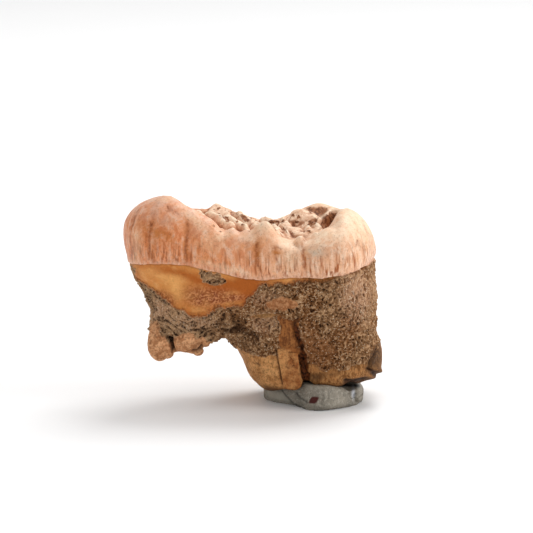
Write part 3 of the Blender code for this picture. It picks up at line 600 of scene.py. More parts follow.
def write(mesh, points):
    """Moves the mesh's points."""
    mesh.vertices.foreach_set("co", points.astype(np.float32).ravel())
    mesh.update()


def grain(points, size, seed, octaves=2):
    """Smooth lumpy noise from about -1 to 1, one value a point."""
    shift = Vector((seed * 7.31, seed * 3.17, seed * 5.83))
    return np.array([noise.fractal(Vector(p) / size + shift, 0.8, 2.1, octaves) for p in points])


def wrinkles(points):
    """The bear's crumpled chewing surface: small rounded nodules crowded together, from 0 to 1."""
    height = np.empty(len(points))
    for i, (x, y, _) in enumerate(points):
        place = Vector((x / NODULE_SIZE[0], y / NODULE_SIZE[1], 0.0))
        place += 0.25 * noise.noise_vector(place * 1.3)
        height[i] = noise.voronoi(Vector((place.x, place.y, 4.0)))[0][0]
    return 1 - np.clip(height / 0.75, 0, 1) ** 2


def neck_height(x, y):
    """Height of the enamel's lower edge, read by a point's bearing from the middle of the crown."""
    ring = closed_spline(CROWN_STATIONS, COLUMNS)
    half_length, half_width = np.abs(ring[:, :2]).max(0)
    bearing = np.arctan2(ring[:, 1] / half_width, ring[:, 0] / half_length)
    order = np.argsort(bearing)
    asked = np.arctan2(y / half_width, x / half_length)
    return np.interp(asked, bearing[order], ring[order, 3], period=math.tau)


def on_both_sides(near_line, far_line, x, y):
    """The height of an edge at x that runs along the near side and along the far side."""
    far = fade(-2.5, 2.5, y)
    return along(near_line, x) * (1 - far) + along(far_line, x) * far


def crust_cover(points, blur):
    """How much of each point of the roots lies under crust, from 0 to 1."""
    x, y, z = points.T
    wander = 0.45 * grain(points, 2.2, 5) + 0.3 * grain(points, 0.8, 6)
    top = on_both_sides(CRUST_TOP_NEAR, CRUST_TOP_FAR, x, y)
    foot = on_both_sides(CRUST_FOOT_NEAR, CRUST_FOOT_FAR, x, y)
    level = z + wander
    cover = fade(blur, -blur, level - top) * fade(-blur, blur, level - foot)
    middle, half, low, high = BARE_STRIP
    strip = fade(half + blur, half - blur, np.abs(x - middle) + 0.5 * wander)
    strip *= fade(low - blur, low, z) * fade(high + blur, high - blur, level)
    return cover * (1 - strip * fade(2.5, -2.5, y))


def upright_groove(across, z, groove):
    """Depth of an upright groove, from its distance across and the height."""
    middle, half, depth, whole, gone = groove
    return depth * np.exp(-(((across - middle) / half) ** 2)) * fade(gone, whole, z)


def seen(points):
    """Where each point shows in the front view: millimetres right of x 0 and above z 0."""
    rel = points - CAMERA_TARGET
    scale = CAMERA_DISTANCE / (CAMERA_DISTANCE - rel @ BACK)
    return CAMERA_TARGET[0] + rel[:, 0] * scale, CAMERA_TARGET[2] + (rel @ UP) * scale


def hashed(ix, iy, iz, seed):
    """A repeatable whole number for each cell of a lattice."""
    h = (ix * 73856093) ^ (iy * 19349663) ^ (iz * 83492791) ^ (seed * 2654435761)
    h = h & 0xFFFFFFFF
    h = ((h ^ (h >> 16)) * 0x45D9F3B) & 0xFFFFFFFF
    h = ((h ^ (h >> 16)) * 0x45D9F3B) & 0xFFFFFFFF
    return h ^ (h >> 16)


SLOPES = np.array(
    [(a, b, 0) for a in (-1, 1) for b in (-1, 1)]
    + [(a, 0, b) for a in (-1, 1) for b in (-1, 1)]
    + [(0, a, b) for a in (-1, 1) for b in (-1, 1)]
    + [(1, 1, 0), (0, -1, 1), (-1, 1, 0), (0, -1, -1)],
    float,
)


def waves(points, size, seed):
    """Gradient noise from about -1 to 1, of the given size, which may differ along each axis."""
    place = points / np.asarray(size, float) + 100.0
    cell = np.floor(place).astype(np.int64)
    part = place - cell
    ease = part ** 3 * (part * (part * 6 - 15) + 10)
    total = np.zeros(len(points))
    for corner in range(8):
        step = np.array([corner & 1, corner >> 1 & 1, corner >> 2])
        at = cell + step
        slope = SLOPES[hashed(at[:, 0], at[:, 1], at[:, 2], seed) & 15]
        weight = np.where(step, ease, 1 - ease).prod(1)
        total += weight * ((part - step) * slope).sum(1)
    return total * 1.4


def rough(points, size, seed, octaves=3, gain=0.5):
    """Several sizes of gradient noise, each half as large as the last."""
    return sum(gain ** k * waves(points, np.asarray(size, float) / 2 ** k, seed + k) for k in range(octaves))


def drift(points, size, seed):
    """Three noises side by side, which push each point off its place."""
    return np.stack([waves(points, size, seed + k) for k in range(3)], 1)


def threads(points, size, seed, width):
    """Winding threads, 1 along their middle and 0 from the given distance in the noise on."""
    return 1 - np.clip(np.abs(waves(points, size, seed)) / width, 0, 1)


def cells(points, size, seed):
    """How far each point is from the nearest and the second nearest of many scattered seeds."""
    place = points / np.asarray(size, float) + 100.0
    cell = np.floor(place).astype(np.int64)
    first = np.full(len(points), 9.0)
    second = np.full(len(points), 9.0)
    for step in np.ndindex(3, 3, 3):
        at = cell + np.array(step) - 1
        offset = [(hashed(at[:, 0], at[:, 1], at[:, 2], seed + k) & 0xFFFF) / 65536.0 for k in range(3)]
        away = np.linalg.norm(at + np.stack(offset, 1) - place, axis=1)
        second = np.minimum(second, np.maximum(first, away))
        first = np.minimum(first, away)
    return first, second


def beside_segment(x, y, start, end):
    """How far along a segment each point's foot lies, as a share, and how far off it the point is."""
    dx, dy = end[0] - start[0], end[1] - start[1]
    from_x, from_y = x - start[0], y - start[1]
    t = np.clip((from_x * dx + from_y * dy) / (dx * dx + dy * dy), 0, 1)
    return t, np.hypot(from_x - t * dx, from_y - t * dy)


def stroke(u, v, path, half):
    """How close each point of the front view is to a drawn path: 1 on it, fading over half its width."""
    nearest = np.min([beside_segment(u, v, *ends)[1] for ends in zip(path, path[1:])], axis=0)
    return np.exp(-((nearest / half) ** 2))


def from_middle(u, v, cu, cv, ru, rv, turn=0.0):
    """Each point's place in a turned oval, as shares of its half-sizes."""
    cos, sin = math.cos(math.radians(turn)), math.sin(math.radians(turn))
    return ((u - cu) * cos + (v - cv) * sin) / ru, ((v - cv) * cos - (u - cu) * sin) / rv


def spot(u, v, *oval):
    """A soft round patch of the front view, from 0 to 1."""
    a, b = from_middle(u, v, *oval)
    return np.exp(-((a * a + b * b) ** 1.5))


def summed(u, v, rows):
    """The patches of a table together, from 0 to 1."""
    total = np.zeros(len(u))
    for cu, cv, ru, rv, strength, *turn in rows:
        total += strength * spot(u, v, cu, cv, ru, rv, *turn)
    return np.clip(total, 0, 1)


def ridge_height(x, y, start, end, half, drop):
    """Height of a rounded ridge that runs from one point to another, and how near its top each point is."""
    t, away = beside_segment(x, y, start, end)
    fall = (away / half) ** 2.6
    return start[2] + (end[2] - start[2]) * t - drop * fall, np.clip(1 - fall, 0, 1)


def crust_texture(points, u, v):
    """Heights of the crust's own small forms, from 0 in its pits to 1 on its ridges."""
    at = points + 0.2 * drift(points, 0.7, 40)
    worms = threads(at, 0.37, 51, 0.45)
    pits = fade(0.15, 0.6, cells(at, 0.39, 52)[0])
    finer = threads(at, 0.25, 54, 0.5)
    lumps = 0.5 + 0.5 * waves(points, 1.3, 55)
    porous = 0.32 * worms + 0.26 * pits + 0.2 * finer + 0.22 * lumps

    x, y, z = points.T
    flow = np.column_stack([x, y, z - along(CRUST_TOP_NEAR, x)]) + 0.5 * drift(points, 2.4, 60)
    ridges = threads(flow, (1.7, 1.4, 0.5), 64, 0.5)
    strands = 0.4 * ridges + 0.25 * finer + 0.15 * worms + 0.2 * lumps

    leaning = np.column_stack([x + 0.15 * z, y, z])
    fibrous = 0.16 + 0.4 * threads(leaning, (0.42, 0.42, 1.3), 66, 0.6) + 0.44 * porous
    left = fade(0.5, -3.0, x)
    top_right = fade(9.5, 12.0, u) * fade(11.0, 13.5, v)
    height = porous * (1 - left) + strands * left
    height = height * (1 - top_right) + fibrous * top_right
    return np.clip((height - 0.15) / 0.6, 0, 1)


def chewing_surface(points, top, fields):
    """The points with the cusps, nodules, pit and lobes of the crown's top, which is 1 on that top."""
    x, y, _ = points.T
    rise = np.zeros(len(points))
    for cx, cy, rx, ry, height in (*CUSPS, *CROWN_SWELLS):
        rise += height * np.exp(-(((x - cx) / rx) ** 2) - ((y - cy) / ry) ** 2)
    oval_x, oval_length, oval_width = NODULE_OVAL
    inside = fade(1.0, 0.78, np.hypot((x - oval_x) / oval_length, y / oval_width))
    chewed = (top * inside) > 0
    fold = np.zeros(len(points))
    fold[chewed] = wrinkles(points[chewed])
    boss_x, boss_y, half_length, half_width = BOSS
    plain = 1 - np.exp(-(((x - boss_x) / half_length) ** 2) - ((y - boss_y) / half_width) ** 2)
    rise += 0.42 * NODULE_HEIGHT * inside * plain * np.where(chewed, fold - 0.35, 0)
    small = np.zeros(len(points))
    first, _ = cells(points[chewed] * (1, 1, 0) + (0, 0, 3.3), (0.75, 0.9, 1.0), 21)
    small[chewed] = np.clip(1 - (first / 0.7) ** 2, 0, 1)
    rise += 0.12 * inside * np.where(chewed, small - 0.4, 0)
    z = points[:, 2] + top * rise

    pit_x, pit_y, half_length, half_width, pit_floor = PIT
    pit = np.exp(-((((x - pit_x) / half_length) ** 2 + ((y - pit_y) / half_width) ** 2) ** 2)) * top
    z += pit * np.minimum(pit_floor + 0.25 * (fold + small) - z, 0)
    wavy_x = x + 0.34 * waves(points, 1.7, 22)
    wavy_y = y + 0.3 * waves(points, 1.5, 23)
    lumpy = 0.13 * waves(points, 1.1, 24) + 0.1 * waves(points, 0.55, 25)
    ridge = np.zeros(len(points))
    for start, end, half, drop in LOBES:
        height, crest = ridge_height(wavy_x, wavy_y, start, end, half, drop)
        lift = np.where(top > 0, height + lumpy - z, -9.0)
        won = fade(-0.05, 0.12, lift)
        z += np.maximum(lift, 0) + 0.1 * np.maximum(1 - np.abs(lift) / 0.4, 0) ** 2
        fold = fold * (1 - won) + won * crest
        ridge = ridge * (1 - won) + won * crest
    for bump_x, bump_y, half, height in RIM_BUMPS:
        reach = np.hypot(x - bump_x, (y - bump_y) * 0.8) / half
        lift = height - 0.9 * reach ** 2 - z
        z += np.where((top > 0) & (lift > 0), lift, 0)
    fields["chew"] = top * inside
    fields["fold"] = np.where(chewed, 0.75 * fold + 0.25 * small, 1.0)
    fields["ridge"] = ridge
    fields["pit"] = pit * (1 - fade(0.2, 0.6, ridge))
    return np.column_stack([x, y, z])


def forms(points, normals):
    """The crown's and roots' main forms, as the solid has them but with crisper edges."""
    x, y, z = points.T
    fields = {}
    top = fade(19.4, 20.2, z) * fade(0.05, 0.5, normals[:, 2])
    moved = chewing_surface(points, top, fields)
    moved[:, 2] += along(SOLE_LIFT, x) * (1 - fade(1.5, 6.0, z))

    wall = fade(17.0, 18.5, z) * fade(-0.5, 0.1, -y) * (1 - fade(0.3, 0.9, normals[:, 2]))
    out = np.zeros(len(points))
    for middle, half, depth in WALL_FURROWS:
        out -= depth * wall * np.exp(-(((x - middle) / half) ** 2))

    neck = z - neck_height(x, y) + 0.08 * waves(points, 1.3, 31) + 0.04 * waves(points, 0.5, 32)
    below = fade(0.07, -0.07, neck)
    torn = points + 0.3 * drift(points, 1.7, 34) + 0.1 * drift(points, 0.6, 37)
    crust = crust_cover(torn, 0.12)
    out += 0.5 * ENAMEL_STEP * (0.5 - below)
    out += below * CRUST_THICKNESS * (crust - BARE_SHARE)
    lumps = sum(height * grain(points, size, seed) for seed, (size, height) in enumerate(CRUST_LUMPS, 1))
    out += below * (BARE_LUMP_SHARE + (1 - BARE_LUMP_SHARE) * crust) * lumps
    scale_x, scale_z, half_length, half_height, scale_rise = SCALE
    reach = np.hypot((x - scale_x) / half_length, (z - scale_z) / half_height)
    plate = fade(1.06, 0.94, reach + 0.15 * waves(points, 0.8, 33)) * fade(-3.0, -5.0, y)
    out += scale_rise * plate
    groove = upright_groove(x, z, FAR_GROOVE) * fade(0.5, 3.0, y)
    out -= groove
    out -= upright_groove(y, z, END_GROOVE) * fade(8.0, 12.0, x)
    fields["neck"] = np.clip(neck, -2, 9)
    fields["crust"] = crust * below * (1 - plate)
    fields["border"] = crust_cover(torn, 0.9)
    fields["plate"] = plate
    fields["groove"] = groove
    return moved + normals * out[:, None], fields


def crust_relief(rest, u, v, near, root, fields):
    """The crust's isles, gaps and texture, on the root, which is 1 below the enamel."""
    isles = summed(u, v, CRUST_ISLES) + 0.3 * waves(rest, 0.9, 87) + 0.25 * waves(rest, 0.4, 88)
    crust = np.maximum(fade(0.3, 0.6, fields["crust"]), near * root * fade(0.4, 0.6, isles))
    gaps = near * root * fade(0.35, 0.65, summed(u, v, CRUST_GAPS) + 0.2 * waves(rest, 0.6, 89))
    on_plate = fade(0.1, 0.3, u - along(PLATE_EDGE, v)) * fade(6.3, 5.7, u)
    on_plate *= v < PLATE_TOP - PLATE_BARE
    crust *= (1 - gaps) * (1 - near * on_plate)
    pore = np.ones(len(rest))
    covered = crust > 0.01
    pore[covered] = crust_texture(rest[covered], u[covered], v[covered])
    x, y, z = rest.T
    foot = on_both_sides(CRUST_FOOT_NEAR, CRUST_FOOT_FAR, x, y)
    low = fade(1.3, 0.6, z - foot - 0.45 * grain(rest, 2.2, 5)) * root
    fields["crust"] = crust
    fields["pore"] = pore
    fields["foot"] = np.maximum(low, gaps)
    fields["stump"] = fade(-4.0, -5.5, x) * fields["foot"]
    return 0.3 * crust * (pore - 0.6)


def crown_relief(rest, u, v, near, enamel, upward, fields):
    """Creases of the chewing surface, and stripes and drawn stains of the enamel's wall."""
    chew = fields["chew"]
    warped = rest * (1, 1, 0.7) + 0.35 * drift(rest, 1.0, 90)
    crease = np.zeros(len(rest))
    worn = chew > 0.01
    first, second = cells(warped[worn], (1.9, 2.4, 1.9), 94)
    crease[worn] = fade(0.13, 0.0, second - first) * fade(-0.5, 0.3, waves(rest[worn], 1.2, 95))
    crease *= chew * (1 - 0.7 * fade(0.1, 0.5, fields["ridge"]))
    stripes = waves(rest, (0.5, 0.5, 5.0), 71) + 0.6 * waves(rest, (0.27, 0.27, 3.0), 72)
    wall = enamel * (1 - fade(0.2, 0.7, upward))
    stain = np.zeros(len(rest))
    wobble = 0.16 * waves(rest, 0.9, 97)
    for path, half, strength in STAINS:
        stain = np.maximum(stain, strength * stroke(u + wobble, v, path, 1.3 * half))
    stain *= near * np.clip(0.9 + 0.6 * rough(rest, (0.5, 0.5, 1.0), 98, 2), 0.25, 1.1) * enamel
    fields["crease"] = crease
    fields["stain"] = stain
    # Upward-facing enamel off the chewing surface, which the material paints paler: painted top light, partly
    # worn paler enamel.
    fields["crest"] = fade(0.3, 0.85, upward) * enamel * (1 - chew)
    out = 0.04 * chew * rough(rest, 0.7, 96, 2) - 0.16 * crease - 0.04 * stain
    out += 0.03 * stripes * wall * fade(5.0, 0.5, fields["neck"])
    return out + 0.05 * wall * waves(rest, (1.6, 1.6, 4.0), 73)


def root_relief(rest, u, v, near, root, fields):
    """Cuts, the groove, the broken-off plate beside it, swellings, and the bare bone's own roughness."""
    out = np.zeros(len(rest))
    fields["cut"] = np.zeros(len(rest))
    wobble = 0.06 * waves(rest, 0.6, 79)
    # Each cut is sunk into the surface; its darkness is painted shade in the cut.
    for path, half, depth, dark in CUTS:
        close = near * stroke(u + wobble, v, path, half)
        out -= depth * close
        fields["cut"] = np.maximum(fields["cut"], dark * close)

    heights, lefts, rights, depths = np.array(GROOVE).T
    left = np.interp(v, heights, lefts) + 0.1 * waves(rest, 1.0, 78)
    across = (u - left) / np.interp(v, heights, rights - lefts)
    hollow = fade(-0.14, 0.16, across) * fade(1.25, 0.35, across + 0.25 * waves(rest, 0.8, 82))
    hollow *= near * root * np.interp(v, heights, depths)
    out -= hollow
    fields["groove"] = np.clip(fields["groove"] + 1.2 * hollow, 0, 1)
    edge = along(PLATE_EDGE, v) + wobble
    middle, half, drop = PLATE_BEND
    top = PLATE_TOP - drop * np.abs((u - middle) / half) ** 3
    plate = fade(0.0, 0.16, u - edge) * fade(0.0, 0.3, left - u)
    plate *= fade(0.0, 0.55, top - v + 0.1 * waves(rest, 0.9, 83)) * near
    out += plate * (0.34 + 0.06 * rough(rest, 1.0, 85, 2))
    fields["block"] = plate

    for cu, cv, ru, rv, rise, *turn in SWELLINGS:
        a, b = from_middle(u, v, cu, cv, ru, rv, *turn)
        out += near * rise * np.sqrt(np.clip(1 - a * a - b * b, 0, 1)) * root

    bare = root * (1 - fields["crust"])
    out += bare * 0.03 * rough(rest, 1.1, 75, 3)
    curls = threads(rest + 0.3 * waves(rest, 0.7, 76)[:, None], 0.42, 77, 0.35)
    ripped = np.maximum(fields["red"], fade(0.05, 0.5, fields["border"]))
    fields["curls"] = curls
    return out + 0.09 * bare * ripped * (curls - 0.4)


def details(rest, points, normals, fields):
    """Small forms on the main ones, and the marks that colour them."""
    u, v = seen(points)
    x, y, z = rest.T
    near = fade(-0.1, 0.15, normals @ BACK)
    enamel = fade(-0.05, 0.05, fields["neck"])
    root = 1 - enamel
    for name, rows in PATCHES.items():
        fields[name] = near * summed(u, v, rows) * (root if name in ROOT_PATCHES else 1)
    out = crust_relief(rest, u, v, near, root, fields)
    out += crown_relief(rest, u, v, near, enamel, normals[:, 2], fields)
    out += root_relief(rest, u, v, near, root, fields)

    brim = np.interp(u, *np.array(BRIM).T)
    # Dirt and painted shade in the basin's folds, and brown marks of the near rim.
    marks = summed(u, v, BASIN_DIRT_AND_SHADE) * fade(0.0, 0.8, y - brim) + 0.8 * summed(u, v, RIM_MARKS)
    fields["dirt_and_shade"] = near * enamel * np.clip(marks, 0, 1)
    # The painted highlight line, on the far half of the crown.
    fields["edge"] = near * stroke(u, v, PAINTED_HIGHLIGHT_LINE, 0.13) * enamel * fade(0.0, 1.0, y)
    fields["ochre"] = near * root * fade(5.6, 6.4, u)
    middle, half, low, high = BARE_STRIP
    strip = fade(half + 0.35, half - 0.1, np.abs(x - middle) + 0.25 * waves(rest, 0.8, 74))
    fields["strip"] = near * strip * fade(low - 0.6, low, z) * fade(high + 0.6, high, z)
    # The pulp hollow, which the material paints dark as painted shade.
    centre, radii = PULP_HOLLOW
    fields["inside"] = fade(1.12, 0.98, np.linalg.norm((rest - centre) / radii, axis=1))
    # The underside near the putty, which the material paints near black as painted shade.
    facing_down = fade(-0.4, -0.8, normals[:, 2])
    fields["under"] = facing_down * fade(4.5, 3.0, z) * fade(0.0, 2.0, x)
    return fitted_to_outline(rest, points + normals * out[:, None], u, v)


def fitted_to_outline(rest, points, u, v):
    """The points brought to the near side's outline in the front view, at both ends and below."""
    x, y, _ = rest.T
    points[:, 0] += along(RIGHT_REACH, v) * fade(12.3, 15.3, x)
    points[:, 0] += along(LEFT_REACH, v) * fade(-9.5, -13.0, x)
    level = CAMERA_TARGET[2]
    low = level + (along(SOLE_LINE, u) - level - UP[1] * y) / UP[2] + 0.06 * rough(rest, 0.9, 86, 2)
    under = fade(-1.0, -3.0, y) * fade(-1.0, 1.0, u)
    points[:, 2] += under * np.maximum(low - points[:, 2], 0)
    return points


def standing_out(mesh, points, normals, rounds=24):
    """How far each point stands out of its surroundings, in millimetres; less than 0 in a hollow."""
    pairs = np.empty(len(mesh.edges) * 2, np.int32)
    mesh.edges.foreach_get("vertices", pairs)
    a, b = pairs.reshape(-1, 2).T
    count = np.bincount(a, minlength=len(points)) + np.bincount(b, minlength=len(points))
    smooth = points.copy()
    for _ in range(rounds):
        for axis in range(3):
            value = smooth[:, axis]
            total = np.bincount(a, value[b], len(points)) + np.bincount(b, value[a], len(points))
            smooth[:, axis] = total / count
    return ((points - smooth) * normals).sum(1)


def carry(fields, before, after):
    """Each field of the points before, read at the nearest of the points after."""
    tree = kdtree.KDTree(len(before))
    for i, point in enumerate(before):
        tree.insert(point, i)
    tree.balance()
    nearest = np.array([tree.find(point)[1] for point in after])
    return {name: values[nearest] for name, values in fields.items()}


def store(mesh, fields):
    """Keeps each field on the mesh, for its material to read."""
    for name, values in fields.items():
        layer = mesh.attributes.new(name, "FLOAT", "POINT")
        layer.data.foreach_set("value", np.asarray(values, np.float32))


def inside_box(points, node):
    """The points held inside the box of the node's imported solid."""
    low, high = (np.array(corner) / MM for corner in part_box(node))
    return np.clip(points, low + 0.005, high - 0.005)


def tooth_mesh():
    """The whole tooth in millimetres, with the fields that steer its colours."""
    mesh = refined(skin())
    rest, normals = read(mesh)
    points, fields = forms(rest, normals)
    write(mesh, points)
    points, normals = read(mesh)
    write(mesh, inside_box(details(rest, points, normals, fields), "molar"))
    points, normals = read(mesh)
    # How far each point stands out: the materials paint highlights where it stands out and shade in the
    # hollows.
    fields["proud"] = np.clip(standing_out(mesh, points, normals), -0.5, 0.5)
    light = lightened(mesh)
    after, _ = read(light)
    store(light, carry(fields, points, after))
    return light


def putty_lump():
    """The lump of putty before its folds and creases."""
    x, y, top = closed_spline(PUTTY_STATIONS, PUTTY_COLUMNS).T
    outline = np.stack([x, y], 1)
    middle = outline.mean(0)
    flat = np.ones(len(x))
    levels = (
        (0.96, 0 * flat), (0.99, 0.25 * flat), (1.0, 0.6 * flat), (0.995, top * 0.6), (0.965, top * 0.85),
        (0.9, top), (0.3, top + 0.3),
    )
    rings = [np.column_stack([middle + (outline - middle) * share, height]) for share, height in levels]
    return skinned("putty", loft("putty", rings), PUTTY_VOXEL, 6)


def pressed_down(points, tooth):
    """The putty's points held below the tooth's underside and above the floor, and sunk at the right."""
    x, y, _ = points.T
    dip = 0.8 * spot(x, y, *DIP) + fade(12.7, 13.9, x)
    points[:, 2] -= dip * fade(0.8, 2.0, points[:, 2])
    tree = BVHTree.FromPolygons([v.co for v in tooth.vertices], [p.vertices for p in tooth.polygons])
    for point in points:
        if point[2] > 0.6:
            above, *_ = tree.ray_cast(Vector((point[0], point[1], -1.0)), Vector((0, 0, 1)))
            if above is not None:
                point[2] = min(point[2], max(above.z - 0.05, 0.3))
    points = inside_box(np.maximum(points, (-np.inf, -np.inf, 0.0)), "putty_pad")
    points[:, 2] = np.where(points[:, 2] < 0.02, 0.0, points[:, 2])
    return points


def putty_mesh(tooth):
    """The putty in millimetres, pressed under the tooth, with the fields that steer its colours."""
    mesh = putty_lump()
    points, normals = read(mesh)
    u, v = seen(points)
    near = fade(0.0, 0.3, normals @ BACK)
    across, heights = np.array(FOLD[::-1]).T
    left_of = np.interp(v, heights, across) - u
    step = fade(-0.05, 0.1, left_of) * near * fade(-0.1, 0.3, points[:, 2])
    out = -0.45 * step + 0.2 * np.exp(-((left_of + 0.4) / 0.4) ** 2) * near
    out += 0.35 * near * fade(0.0, 0.5, -left_of) * fade(6.9, 5.2, u)
    for path, half, depth in PUTTY_CREASES:
        out -= depth * near * stroke(u, v, path, half)
    out += 0.09 * rough(points, 2.2, 81, 2) + 0.03 * rough(points, 0.6, 84, 2)
    out -= 0.2 * near * stroke(u, v, FOLD, 0.12)
    points = pressed_down(points + normals * out[:, None], tooth)
    write(mesh, points)
    u, v = seen(points)
    fu, fv, ru, rv = FLECK
    lozenge = (np.abs((u - fu - 0.45 * (v - fv)) / ru) ** 4 + np.abs((v - fv) / rv) ** 4) ** 0.25
    store(mesh, {
        "fleck": near * fade(1.15, 0.9, lozenge),
        # Painted shade along the fold and the side crease.
        "seam": near * np.maximum(stroke(u, v, FOLD, 0.12), stroke(u, v, SIDE_CREASE, 0.14)),
        # A painted highlight on the putty's right end.
        "sheen": near * spot(u, v, *PAINTED_SHEEN),
        # Painted fill light on the part behind the fold.
        "lower": step,
        # Painted shade in the gap under the tooth.
        "gap": stroke(u, v, PUTTY_GAP_SHADE, 0.3) * fade(1.0, -1.0, points[:, 1]),
    })
    return mesh


class Look:
    """A material's nodes, made by short calls that give back the sockets they end in.

    A value given by name is one of the look's noises, a coordinate, or else a field of the mesh.
    """

    def __init__(self, name, noises):
        self.material = bpy.data.materials.new(name)
        self.material.use_nodes = True
        self.tree = self.material.node_tree
        self.surface = self.tree.nodes["Principled BSDF"].inputs
        self.place = self.scaled(self.put("ShaderNodeTexCoord").outputs["Object"], (MM, MM, MM))
        apart = self.put("ShaderNodeSeparateXYZ", {0: self.place}).outputs
        self.sources = {"east": apart[0], "up": apart[2]}
        for key, settings in noises.items():
            self.sources[key] = self.noise(*settings)

    def put(self, kind, inputs=None, **settings):
        """A node of the kind, with its settings made and its inputs fed."""
        node = self.tree.nodes.new(kind)
        for key, value in settings.items():
            setattr(node, key, value)
        for key, value in (inputs or {}).items():
            self.feed(node.inputs[key], value)
        return node

    def feed(self, socket, value):
        if isinstance(value, str):
            value = self.source(value)
        if isinstance(value, bpy.types.NodeSocket):
            self.tree.links.new(value, socket)
        else:
            socket.default_value = value

    def source(self, name):
        if name not in self.sources:
            self.sources[name] = self.put("ShaderNodeAttribute", attribute_name=name).outputs["Fac"]
        return self.sources[name]

    def math(self, operation, a, b):
        return self.put("ShaderNodeMath", {0: a, 1: b}, operation=operation).outputs[0]

    def add(self, a, b):
        return self.math("ADD", a, b)

    def times(self, value, *others):
        for other in others:
            value = self.math("MULTIPLY", value, other)
        return value

    def level(self, value, low, high, floor=0.0, ceiling=1.0):
        """The floor where the value is at low, the ceiling where it is at high, and smooth in between."""
        inputs = {"Value": value, "From Min": low, "From Max": high, "To Min": floor, "To Max": ceiling}
        return self.put("ShaderNodeMapRange", inputs, interpolation_type="SMOOTHSTEP").outputs[0]

    def mix(self, a, b, share, blend="MIX"):
        """The first colour, with the second over it by the given share."""
        a, b = ((*c, 1.0) if isinstance(c, tuple) else c for c in (a, b))
        inputs = {0: share, 6: a, 7: b}
        return self.put("ShaderNodeMix", inputs, data_type="RGBA", blend_type=blend).outputs[2]

    def coated(self, colour, layers):
        """The colour under layers, each of a colour and of shares that multiply to its cover.

        A number in a colour's place darkens what lies below to that share of itself.
        """
        for over, *shares in layers:
            cover = self.times(*shares)
            if isinstance(over, float):
                colour = self.mix(colour, (over, over, over), cover, "MULTIPLY")
            else:
                colour = self.mix(colour, over, cover)
        return colour

    def scaled(self, place, size):
        scale = tuple(1 / length for length in size)
        return self.put("ShaderNodeVectorMath", {0: place, 1: scale}, operation="MULTIPLY").outputs[0]

    def noise(self, size, detail=2.0, roughness=0.5, distortion=0.0):
        place = self.scaled(self.place, size if isinstance(size, tuple) else (size,) * 3)
        inputs = {"Vector": place, "Scale": 1.0, "Detail": detail, "Roughness": roughness}
        inputs["Distortion"] = distortion
        return self.put("ShaderNodeTexNoise", inputs).outputs["Fac"]

    def bump(self, height, distance, strength, **under):
        inputs = {"Height": height, "Distance": distance * MM, "Strength": strength, **under}
        return self.put("ShaderNodeBump", inputs).outputs["Normal"]

    def finish(self, colour, roughness, specular=None, normal=None):
        """The material, with its colour, roughness, specular level and bump."""
        self.feed(self.surface["Base Color"], colour)
        self.feed(self.surface["Roughness"], roughness)
        if specular is not None:
            self.surface["Specular IOR Level"].default_value = specular
        if normal is not None:
            self.feed(self.surface["Normal"], normal)
        return self.material


